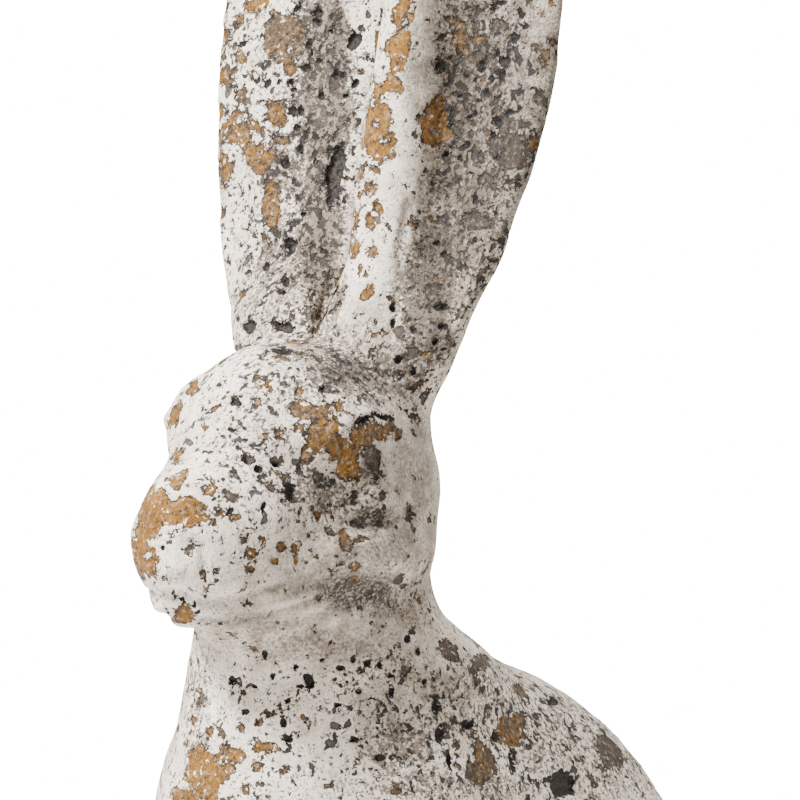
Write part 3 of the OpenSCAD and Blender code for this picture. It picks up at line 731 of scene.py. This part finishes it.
def markField(marks, swayed=1.0):
    # distance in mm from the edge of the nearest mark, positive inside, and the tone of that mark
    best, tone = np.full(len(points), markEdge["none"]), np.full(len(points), 0.3)
    for shade, x, y, halfX, halfY, *turn in marks:
        wide = max(halfX, halfY) + markEdge["search"]
        near = np.flatnonzero(nearSide & (np.abs(column - x) < wide) & (np.abs(row - y) < wide))
        if len(near) == 0:
            continue
        u, v = column[near] - x, row[near] - y
        at = depth[near][np.argmin(u * u + v * v)]
        small = min(halfX, halfY)
        drift = sway[near] * min(1.0, (small + 1) / markEdge["fullSway"]) * swayed
        u, v = u + drift[:, 0], v + drift[:, 1]
        angle = math.radians(sum(turn))
        c, s = math.cos(angle), math.sin(angle)
        behind = np.maximum(np.abs(depth[near] - at) - markEdge["flat"], 0)
        behind = behind / (small * photo["pixel"] + markEdge["behind"])
        e = np.sqrt(((u * c + v * s) / halfX) ** 2 + ((v * c - u * s) / halfY) ** 2 + behind ** 2)
        gap = (1 - e) * small * photo["pixel"]
        better = gap > best[near]
        best[near[better]] = gap[better]
        tone[near[better]] = shade
    return best, tone


def toned(marks, tone=0):
    # the marks, each with its tone first
    return [(tone, *mark) for mark in marks]


def patchField(kind):
    # the greatest of the patches of one kind, each full in its middle and gone past its half widths
    total = np.zeros(len(points))
    for x, y, halfX, halfY, strength in patches[kind]:
        drift = sway * min(seeing["patchSway"], min(halfX, halfY) / seeing["swayedPatch"])
        u, v = (column + drift[:, 0] - x) / halfX, (row + drift[:, 1] - y) / halfY
        total = np.maximum(total, strength * np.exp(-(u * u + v * v) ** 1.5))
    return total * nearSide


def hollows():
    # how far each vertex lies below the mean of its neighbours some way off, in mm
    out = []
    for grid, normal in zip(grids, normals):
        off = 16
        rows = np.clip(np.arange(len(grid))[:, None] + [-off, off], 0, len(grid) - 1)
        mean = (np.roll(grid, off, 1) + np.roll(grid, -off, 1) + grid[rows[:, 0]] + grid[rows[:, 1]]) / 4
        out.append(((mean - grid) * normal).sum(-1).ravel())
    return np.concatenate(out)


def shown(here, there):
    # one value where the photograph sees the hare, and another where it doesn't
    return seen * here + (1 - seen) * there


def patchy(base, height, size, seed):
    # a mean with noise round it, kept from 0 to 1
    return np.clip(base + height * noise(points, size, seed), 0, 1)


# amounts that hold everywhere; where the skin lies sunk between its surroundings, in mm, it gets more bare cement and
# more grime with painted shade
wearing = {
    "sunk": (0.8, 5.0), "bare": 0.14, "bareSunk": 0.25, "bareSmooth": -0.14, "bareMost": 1.1, "sunkGrimeAndShade": 0.3,
    "flakeLimit": 0.27, "flakeGain": 14, "flakeSeen": -10, "smallLimit": 0.5, "smallGain": 3.2,
    "speckSmooth": -0.8, "speckMost": 1.3, "speckSmall": 0.12, "broadFlakes": 0.1, "broadSmall": 0.05,
    "wildTone": 0.35, "speckTone": 0.2, "islandSway": 0.6, "pitSway": 0.7,
}
# noise by what it makes: height, size in mm and seed of each layer; elsewhere, where the photograph doesn't see
# the hare, the mean comes first
layers = {
    "broad": ((1.0, 70.0, 51), (0.5, 34.0, 52)), "flakes": ((0.55, 15.0, 56), (0.3, 7.0, 57), (0.15, 3.2, 58)),
    "small": ((0.6, 4.4, 59), (0.4, 2.4, 60)), "tone": ((0.35, 26.0, 61),), "smallTone": ((0.45, 9.0, 62),),
}
elsewhere = {"speck": (0.55, 0.4, 60.0, 53), "bare": (0.22, 0.45, 42.0, 54), "tanAndShade": (0.35, 0.5, 90.0, 55)}
elseSmoke = {"amount": 0.7, "size": 36.0, "seed": 63, "range": (0.15, 0.9)}
chip, tone = markField([mark for tone, marks in chips.items() for mark in toned(marks, tone)])
island, _ = markField(toned(paintIslands), wearing["islandSway"])
chip = np.minimum(chip, -island)
pits += [(*place, *half) for half, places in smallPits.items() for place in places]
pit, _ = markField(toned(pits), wearing["pitSway"])
broad, flakes, small, toneShift, smallTone = (noises(points, layer) for layer in layers.values())
speck = shown((1 + patchField("speck")) / 2, patchy(*elsewhere["speck"]))
smooth = seen * patchField("smooth")
sunk = step(hollows(), *wearing["sunk"])
bare = wearing["bare"] + shown(patchField("bare"), patchy(*elsewhere["bare"]))
bare = np.clip(bare + wearing["bareSunk"] * sunk + wearing["bareSmooth"] * smooth, 0, wearing["bareMost"])
clouded = elseSmoke["amount"] * step(noise(points, elseSmoke["size"], elseSmoke["seed"]), *elseSmoke["range"])
grimeAndShade = np.clip(shown(patchField("grimeAndShade"), clouded) + wearing["sunkGrimeAndShade"] * sunk, 0, 1)
tanAndShade = shown(patchField("tanAndShade"), patchy(*elsewhere["tanAndShade"]))
# wide flakes lie only where the photograph doesn't reach, small ones everywhere
flakes = (flakes - wearing["flakeLimit"] + wearing["broadFlakes"] * broad) * wearing["flakeGain"]
flakes = flakes + wearing["flakeSeen"] * seen
small = small - wearing["smallLimit"] + wearing["speckSmall"] * (speck - smooth) + wearing["broadSmall"] * broad
small = small * wearing["smallGain"]
wild = np.maximum(flakes, small)
wildTone = wearing["wildTone"] + toneShift + smallTone * (small > flakes) + wearing["speckTone"] * speck
tone = np.where(wild > chip, np.clip(wildTone, 0, 1), tone)
chip, pit = (np.clip(gap, markEdge["none"], markEdge["most"]) for gap in (np.maximum(chip, wild), pit))
speck = np.clip(speck + wearing["speckSmooth"] * smooth, 0, wearing["speckMost"])
wear = {"chip": chip, "tone": tone, "pit": pit, "bare": bare, "grimeAndShade": grimeAndShade, "speck": speck, "tanAndShade": tanAndShade,
        "shade": seen * patchField("shade")}
# the same on the hollow and the joint faces, where nothing was worked out
unworn = {"chip": -4.0, "tone": 0.5, "pit": -4.0, "bare": 0.6, "grimeAndShade": 0.2, "speck": 0.3, "tanAndShade": 0.5, "shade": 0.0}
cut = {"chip": (0.42, -0.35, 0.55), "pit": (2.2, -0.4, 1.6)}  # depth, and where it starts and is full, in mm
recess = sum(deep * step(wear[kind], low, high) for kind, (deep, low, high) in cut.items())
for grid, normal, first, last in zip(grids, normals, spans[:-1], spans[1:]):
    grid -= normal * recess[first:last].reshape(grid.shape[:2])[..., None]
bodyShape[0, :, 2] = 0
keepApart()
print("hare: chips, pits and dirt placed")


sharpest = 64.0  # degrees between faces, past which an edge isn't smoothed


def makeMesh(name, grid, low, high, values):
    # a closed tube of rings with a fan over each end; faces are turned outward by the sign of the volume
    rows, cols = grid.shape[:2]
    points = np.concatenate([grid.reshape(-1, 3), [low, high]]) + [0, axisY, 0]
    points = np.clip(points * mm, cadBox[0], cadBox[1])
    index = np.arange(rows * cols).reshape(rows, cols)
    side = np.roll(index, -1, axis=1)
    quads = np.stack([index[:-1], side[:-1], side[1:], index[1:]], -1).reshape(-1, 4)
    fans = np.concatenate([np.stack([side[0], index[0], np.full(cols, rows * cols)], -1),
                           np.stack([index[-1], side[-1], np.full(cols, rows * cols + 1)], -1)])
    tris = np.concatenate([quads[:, [0, 1, 2]], quads[:, [0, 2, 3]], fans])
    p = points[tris]
    if np.einsum("ij,ij->", p[:, 0], np.cross(p[:, 1], p[:, 2])) < 0:
        quads, fans = quads[:, ::-1], fans[:, ::-1]
    mesh = bpy.data.meshes.new(name)
    mesh.vertices.add(len(points))
    mesh.vertices.foreach_set("co", points.ravel())
    loops = np.concatenate([quads.ravel(), fans.ravel()])
    starts = np.concatenate([np.arange(len(quads)) * 4, len(quads) * 4 + np.arange(len(fans)) * 3])
    mesh.loops.add(len(loops))
    mesh.loops.foreach_set("vertex_index", loops)
    mesh.polygons.add(len(starts))
    mesh.polygons.foreach_set("loop_start", starts)
    mesh.update(calc_edges=True)
    mesh.validate()
    mesh.shade_smooth()
    mesh.set_sharp_from_angle(angle=math.radians(sharpest))
    for label, value in values.items():
        layer = mesh.attributes.new(label, "FLOAT", "POINT")
        padded = np.full(len(points), unworn[label], np.float32)
        padded[rows * cols - len(value):rows * cols] = value
        layer.data.foreach_set("value", padded)
    obj = bpy.data.objects.new(name, mesh)
    bpy.context.scene.collection.objects.link(obj)
    return obj


bodyAll = np.concatenate([bodyHollow(), bodyShape])
crownCentre = [0, earY, earSeatZ]
neckCentre = [0, neckY, bodySizes["height"] + neckSlope * neckY]
hollowTop = bodyAll[0].mean(0)
skins = {
    "body_skin": (bodyAll, hollowTop, neckCentre, "body_shell"),
    "head_skin": (headShape, neckCentre, crownCentre, "head"),
    "left_ear_skin": (leftShape, leftShape[0].mean(0), leftShape[-1].mean(0), "left_ear"),
    "right_ear_skin": (rightShape, rightShape[0].mean(0), rightShape[-1].mean(0), "right_ear"),
}


def wire(tree, kind, inputs=(), **settings):
    # a node with its settings, and a value or a link on each input that is named
    made = tree.nodes.new("ShaderNode" + kind)
    for key, value in settings.items():
        setattr(made, key, value)
    feed(tree, made, inputs)
    return made


def feed(tree, node, inputs):
    # a link where a socket is given, and otherwise a fixed value
    for key, value in dict(inputs).items():
        if isinstance(value, bpy.types.NodeSocket):
            tree.links.new(value, node.inputs[key])
        else:
            node.inputs[key].default_value = value


def sums(operation, *values, clamp=False):
    # the tree is the one that the values' sockets belong to, here and below
    tree = next(value.id_data for value in values if isinstance(value, bpy.types.NodeSocket))
    return wire(tree, "Math", enumerate(values), operation=operation, use_clamp=clamp).outputs[0]


def times(one, other, clamp=False):
    return sums("MULTIPLY", one, other, clamp=clamp)


def plus(total, *terms):
    # the total and each further value times the weight that follows it
    for value, weight in zip(terms[::2], terms[1::2]):
        total = sums("MULTIPLY_ADD", value, weight, total)
    return total


def fade(value, low, high, start=0.0, end=1.0):
    # a smooth step from start to end while the value goes from low to high
    return wire(value.id_data, "MapRange", {0: value, 1: low, 2: high, 3: start, 4: end},
                interpolation_type="SMOOTHSTEP").outputs[0]


def layered(colour, *layers):
    # colours laid one over the other, each by its share
    for share, over in layers:
        colour = wire(share.id_data, "Mix", {0: share, 6: colour, 7: over}, data_type="RGBA").outputs[2]
    return colour


def cloud(place, size, detail=2.0, rough=0.5, bend=0.0):
    # noise from 0 to 1 whose patches are about the given size, in mm
    scale = sums("DIVIDE", 1.0, size) if isinstance(size, bpy.types.NodeSocket) else 1 / size
    return wire(place.id_data, "TexNoise", {"Vector": place, "Scale": scale, "Detail": detail, "Roughness": rough,
                                            "Distortion": bend}).outputs[0]


def startGroup(name, inputs, outputs):
    # a node group with its sockets; each is given the place at which its noise is read
    tree = bpy.data.node_groups.new(name, "ShaderNodeTree")
    for label, kind, value in [("Place", "Vector", None)] + inputs:
        socket = tree.interface.new_socket(label, in_out="INPUT", socket_type="NodeSocket" + kind)
        if value is not None:
            socket.default_value = value
    for label in outputs:
        tree.interface.new_socket(label, in_out="OUTPUT", socket_type="NodeSocketFloat")
    return tree, tree.nodes.new("NodeGroupInput").outputs, tree.nodes.new("NodeGroupOutput")


def speckleGroup():
    # small ragged craters: noise above a limit that falls as the amount grows, with the band along their edge
    tree, given, ends = startGroup("speckle", [("Size", "Float", 2.0), ("Amount", "Float", 0.5)],
                                   ["Fleck", "Edge", "Depth", "Tint"])
    ground = cloud(given["Place"], given["Size"], 2.5, 0.6, 0.25)
    over = sums("SUBTRACT", ground, plus(0.80, given["Amount"], -0.24))
    broad = cloud(given["Place"], sums("DIVIDE", given["Size"], 0.35), 0.0)
    fleck = fade(over, 0.0, 0.03)
    edge = times(fleck, fade(over, 0.02, 0.07, 1.0, 0.0))
    feed(tree, ends, {"Fleck": fleck, "Edge": edge, "Depth": fade(over, -0.03, 0.06),
                      "Tint": fade(broad, 0.40, 0.60)})
    return tree


def brokenEdgeGroup():
    # a ragged mask from a distance in mm, with the dark line just inside its edge
    tree, given, ends = startGroup("brokenEdge", [("Distance", "Float", -4.0), ("Jag", "Float", 1.0)],
                                   ["Inside", "Rim", "Depth"])
    coarse = sums("SUBTRACT", cloud(given["Place"], 3.6, 2.0, 0.6, 0.8), 0.5)
    fine = sums("SUBTRACT", cloud(given["Place"], 1.2, 2.0, 0.6, 0.5), 0.5)
    jag = plus(0.0, fine, 3.2, coarse, 6.0)
    edge = sums("MULTIPLY_ADD", jag, given["Jag"], given["Distance"])
    inside = fade(edge, -0.08, 0.12)
    feed(tree, ends, {"Inside": inside, "Rim": times(inside, fade(edge, 0.3, 1.4, 1.0, 0.0)),
                      "Depth": fade(edge, -0.35, 0.55)})
    return tree


def grainGroup():
    # cement's fine relief in mm, and its mottling
    tree, given, ends = startGroup("cementGrain", [], ["Height", "Mottle"])
    sand = cloud(given["Place"], 0.8, 3.0, 0.65)
    lump = cloud(given["Place"], 3.8, 3.0, 0.6)
    pores = fade(cloud(given["Place"], 1.5, 1.0), 0.64, 0.74)
    feed(tree, ends, {"Height": plus(0.0, pores, -0.35, lump, 0.70, sand, 0.40),
                      "Mottle": plus(0.0, sand, 0.5, lump, 0.5)})
    return tree


def startMaterial(name, looks):
    # a material with its tree, Object coordinates in mm, and its colours with full alpha
    material = bpy.data.materials.new(name)
    material.use_nodes = True
    tree = material.node_tree
    place = wire(tree, "VectorMath", {0: wire(tree, "TexCoord").outputs["Object"], "Scale": 1 / mm},
                 operation="SCALE").outputs[0]
    return material, tree, place, {key: (*colour, 1.0) for key, colour in looks.items()}


def finishMaterial(material, colour, high, **values):
    # the relief in mm becomes the shader's normal
    tree = material.node_tree
    bump = wire(tree, "Bump", {"Height": high, "Distance": mm, "Strength": 1.0})
    feed(tree, tree.nodes["Principled BSDF"], {"Base Color": colour, "Normal": bump.outputs["Normal"], **values})
    return material


def useGroup(group, place, **values):
    # a group's outputs, with this material's own values
    return wire(place.id_data, "Group", {"Place": place, **values}, node_tree=group).outputs


def worked(tree, name):
    # a value that was worked out for each vertex of the skins
    return wire(tree, "Attribute", attribute_name=name, attribute_type="GEOMETRY").outputs["Fac"]


speckle, brokenEdge, cementGrain = speckleGroup(), brokenEdgeGroup(), grainGroup()

paintLooks = {
    "white": (0.80, 0.722, 0.628), "beige": (0.43, 0.36, 0.285), "sandyAndShade": (0.155, 0.119, 0.088),
    "bareLight": (0.17, 0.130, 0.096), "bareDark": (0.030, 0.024, 0.019),
    "ochre": (0.188, 0.083, 0.006), "rust": (0.062, 0.028, 0.005), "olive": (0.050, 0.036, 0.023),
    "pit": (0.008, 0.007, 0.007), "fleckDark": (0.012, 0.011, 0.010), "fleckGrey": (0.048, 0.039, 0.032),
    "grimeAndShade": (0.014, 0.013, 0.013), "brownGrimeAndShade": (0.030, 0.021, 0.015),
}
# noise that the paint is mixed by: size in mm, detail, roughness and bend
paintClouds = {
    "broad": (38.0, 3.0, 0.55), "mid": (9.0, 4.0, 0.6, 0.2), "fine": (1.4, 4.0, 0.7, 0.15), "grit": (0.8, 2.0, 0.6),
    "dots": (1.0, 1.0, 0.5), "ragged": (3.2, 3.0, 0.6, 0.2), "frayed": (1.3, 3.0, 0.65, 0.15),
    "dust": (2.4, 3.0, 0.7), "scraps": (3.6, 3.0, 0.6, 0.3), "rim": (5.0, 1.0),
}
# craters in the paint: size in mm, least amount, what the specks add, strength and depth
craterLooks = {
    "tiny": (2.3, 0.37, 0.60, 0.80, -0.15), "middling": (4.6, 0.34, 0.60, 0.96, -0.4),
    "big": (8.0, 0.30, 0.55, 0.94, -0.6),
}


def chippedPaint():
    # old paint on cement, worn through where the values of the mesh say
    material, tree, place, looks = startMaterial("chippedPaint", paintLooks)
    tanAndShade, bared, amount, tone = (worked(tree, kind) for kind in ("tanAndShade", "bare", "speck", "tone"))
    clouds = {name: cloud(place, *look) for name, look in paintClouds.items()}
    midCloud, fineCloud, grit = clouds["mid"], clouds["fine"], clouds["grit"]
    grain = useGroup(cementGrain, place)

    # the paint itself: off-white, dulled in clouds and grains, sandy where it is worn thin under tan dirt and painted
    # shade, with grey dots
    dull = fade(plus(0.0, clouds["broad"], 0.5, midCloud, 0.7), 0.48, 0.80, 0.0, 0.7)
    thin = fade(plus(0.0, midCloud, 0.4, fineCloud, 0.6), 0.36, 0.62, 0.45)
    dots = fade(clouds["dots"], 0.62, 0.72)
    painted = layered(looks["white"], (dull, looks["beige"]),
                      (fade(fineCloud, 0.42, 0.66, 0.0, 0.55), looks["beige"]),
                      (times(tanAndShade, thin), looks["sandyAndShade"]),
                      (times(dots, plus(0.3, tanAndShade, 0.25)), looks["fleckGrey"]))

    # the bare, dirty cement that shows through worn paint, fibrous and dotted
    stain = plus(0.0, midCloud, 0.35, fineCloud, 0.5, grit, 0.5)
    bare = layered(looks["bareLight"], (fade(stain, 0.55, 0.88), looks["bareDark"]))
    lost = fade(plus(0.0, clouds["ragged"], 0.4, clouds["frayed"], 0.6, bared, 0.24), 0.57, 0.68)
    colour = layered(painted, (times(lost, 0.92), bare))

    # craters of three sizes, dark along their edges, and the grime and painted shade over them
    craters = {}
    for name, (size, start, share, strength, _) in craterLooks.items():
        if name == "tiny":
            start = plus(start, bared, 0.35)
        crater = useGroup(speckle, place, Size=size, Amount=plus(start, amount, share))
        inner = layered(looks["fleckGrey"], (crater["Tint"], looks["fleckDark"]))
        # the dark band along each crater's edge is dirt and painted shadow
        colour = layered(colour, (times(crater["Fleck"], strength), inner),
                         (times(crater["Edge"], strength), looks["fleckDark"]))
        craters[name] = crater
    grimeAndShade = times(worked(tree, "grimeAndShade"), fade(fineCloud, 0.3, 0.6, 0.45, 1.0), clamp=True)
    colour = layered(colour, (grimeAndShade, layered(looks["grimeAndShade"], (tanAndShade, looks["brownGrimeAndShade"]))))

    # where the paint is gone: the ochre coat, rubbed and stained, with scraps of paint left on it
    chip = useGroup(brokenEdge, place, Distance=worked(tree, "chip"), Jag=0.8)
    rub = fade(plus(0.0, fineCloud, 0.8, midCloud, 0.3), 0.44, 0.68, 0.0, 0.9)
    aged = plus(tone, midCloud, 0.6, fineCloud, 1.4)
    mottled = times(fade(grit, 0.5, 0.66), times(tone, 0.8))
    under = layered(looks["ochre"], (rub, looks["rust"]), (fade(aged, 1.08, 1.62), looks["olive"]),
                    (mottled, looks["fleckGrey"]), (times(craters["tiny"]["Fleck"], 0.75), looks["fleckDark"]),
                    (fade(clouds["dust"], 0.5, 0.68, 0.0, 0.3), looks["beige"]))
    scraps = fade(clouds["scraps"], 0.63, 0.65)
    inside = times(chip["Inside"], sums("SUBTRACT", 1.0, scraps))
    # the dark line inside each chip's edge is dirt and painted shadow of the paint's thickness
    rimDirtAndShadow = times(chip["Rim"], fade(clouds["rim"], 0.36, 0.56, 0.3, 0.95))

    # deep pits, with dirt and painted shadow along their rims, and last the painted shade that darkens everything
    # under it alike
    pit = useGroup(brokenEdge, place, Distance=worked(tree, "pit"), Jag=0.6)
    pitColour = layered(looks["fleckDark"], (fade(fineCloud, 0.38, 0.62), looks["fleckGrey"]))
    colour = layered(colour, (inside, under), (rimDirtAndShadow, looks["fleckDark"]), (pit["Inside"], pitColour),
                     (times(pit["Rim"], 0.9), looks["pit"]), (worked(tree, "shade"), looks["pit"]))

    high = plus(grain["Height"], chip["Depth"], -0.7, pit["Depth"], -1.1, lost, -0.15)
    for name, crater in craters.items():
        high = plus(high, crater["Depth"], craterLooks[name][-1])
    rough = plus(fade(fineCloud, 0.3, 0.7, 0.82, 0.95), chip["Inside"], -0.06)
    return finishMaterial(material, colour, high, **{"Roughness": rough, "Specular IOR Level": 0.25})


castLooks = {"light": (0.42, 0.38, 0.32), "dark": (0.24, 0.215, 0.18), "stone": (0.12, 0.11, 0.10)}


def bareCement():
    # the plate's finish: unpainted cement with clouds and pores
    material, tree, place, looks = startMaterial("bareCement", castLooks)
    grain, flecks = useGroup(cementGrain, place), useGroup(speckle, place, Size=2.6, Amount=0.55)
    dark = fade(plus(cloud(place, 24.0, 4.0, 0.6), grain["Mottle"], 0.5), 0.55, 0.95)
    colour = layered(looks["light"], (dark, looks["dark"]), (times(flecks["Fleck"], 0.7), looks["stone"]))
    high = plus(0.0, grain["Height"], 1.2, flecks["Fleck"], -0.2)
    return finishMaterial(material, colour, high, Roughness=0.93)


steelLooks = {"bright": (0.42, 0.425, 0.43), "stained": (0.17, 0.12, 0.085)}


def drawnSteel():
    # draw lines run along the bar, which stands nearly upright
    material, tree, place, looks = startMaterial("drawnSteel", steelLooks)
    drawn = wire(tree, "Mapping", {"Vector": place, "Scale": (1.0, 1.0, 0.03)}).outputs[0]
    lines = cloud(drawn, 0.5, 2.0)
    stain = useGroup(speckle, place, Size=5.0, Amount=0.8)["Fleck"]
    return finishMaterial(
        material, layered(looks["bright"], (times(stain, 0.8), looks["stained"])), times(lines, 0.02),
        Roughness=fade(plus(lines, stain, 0.5), 0.3, 1.1, 0.32, 0.75),
        Metallic=fade(stain, 0.0, 1.0, 1.0, 0.1))


paint, cast, steel = chippedPaint(), bareCement(), drawnSteel()
print("hare: materials made")


made = []
for name, (grid, low, high, node) in skins.items():
    first, last = spans[len(made)], spans[len(made) + 1]
    piece = makeMesh(name, grid, low, high, {label: value[first:last] for label, value in wear.items()})
    made.append(piece)
    piece.data.materials.append(paint)
    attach(piece, "root")
    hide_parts(node)
for node, finish in (("base_plate", cast), ("left_ear_rod", steel), ("right_ear_rod", steel),
                     ("front_neck_pin", steel), ("rear_neck_pin", steel)):
    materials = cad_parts[node].data.materials
    materials.clear()
    materials.append(finish)
print("hare: skins made")


studioLights = {
    # metres right of, above and in front of the hare's head as the camera sees it, then size, watts and colour
    "key": (-1.5, 1.9, 1.0, 0.6, 380.0, (1.0, 0.985, 0.96)),
    "fill": (1.9, 0.3, 1.3, 1.6, 8.0, (1.0, 0.94, 0.86)),
    "top": (0.5, 2.2, -0.6, 1.4, 130.0, (1.0, 0.98, 0.95)),
    "worldLight": 0.32, "worldTint": (1.0, 0.95, 0.89, 1.0), "worldSeen": 20.0,
    "floorRadius": 1.1, "floor": (0.8, 0.8, 0.79, 1.0), "floorRoughness": 0.7,
}


def placed(right, up, toward, place):
    # a matrix whose axes and place are given in the hare's frame
    return Matrix([[right[i], up[i], toward[i], place[i]] for i in range(3)] + [[0, 0, 0, 1]])


def studio():
    # a round pale floor under a white surround, and three broad lights
    bpy.ops.mesh.primitive_circle_add(vertices=128, radius=studioLights["floorRadius"], fill_type="NGON")
    floor = bpy.context.object
    floor.name = "studio_floor"
    material = bpy.data.materials.new("paleFloor")
    material.use_nodes = True
    feed(material.node_tree, material.node_tree.nodes["Principled BSDF"],
         {"Base Color": studioLights["floor"], "Roughness": studioLights["floorRoughness"]})
    floor.data.materials.append(material)
    right, up, toward = viewAxes()
    head = np.array([0, axisY, skullZ]) * mm
    for name in ("key", "fill", "top"):
        across, above, ahead, size, watts, colour = studioLights[name]
        light = bpy.data.lights.new(name, "AREA")
        light.size, light.energy, light.color = size, watts, colour
        lamp = bpy.data.objects.new(name, light)
        bpy.context.scene.collection.objects.link(lamp)
        way = right * across + up * above + toward * ahead
        back = unit(way)
        side = unit(np.cross([0, 0, 1], back))
        lamp.matrix_world = placed(side, np.cross(back, side), back, head + way)
    world = bpy.data.worlds.new("studio")
    bpy.context.scene.world = world
    world.use_nodes = True
    tree = world.node_tree
    lit, camera = tree.nodes["Background"], wire(tree, "LightPath").outputs["Is Camera Ray"]
    feed(tree, lit, {"Color": studioLights["worldTint"], "Strength": studioLights["worldLight"]})
    white = wire(tree, "Background", {"Color": (1, 1, 1, 1), "Strength": studioLights["worldSeen"]})
    both = wire(tree, "MixShader", {0: camera, 1: lit.outputs[0], 2: white.outputs[0]})
    tree.links.new(both.outputs[0], tree.nodes["World Output"].inputs["Surface"])


def photoCamera():
    # the photograph's camera: its pixels are as wide at the neck's axis as photo says
    right, up, toward = viewAxes()
    data = bpy.data.cameras.new("photo_camera")
    data.sensor_width = photo["sensor"]
    data.lens = photo["sensor"] * photo["distance"] / (photo["size"] * photo["pixel"])
    data.clip_end = photo["clipEnd"]
    camera = bpy.data.objects.new("photo_camera", data)
    bpy.context.scene.collection.objects.link(camera)
    place = (frameCentre() + toward * photo["distance"] + [0, axisY, 0]) * mm
    camera.matrix_world = placed(right, up, toward, place)
    bpy.context.scene.camera = camera


studio()
photoCamera()
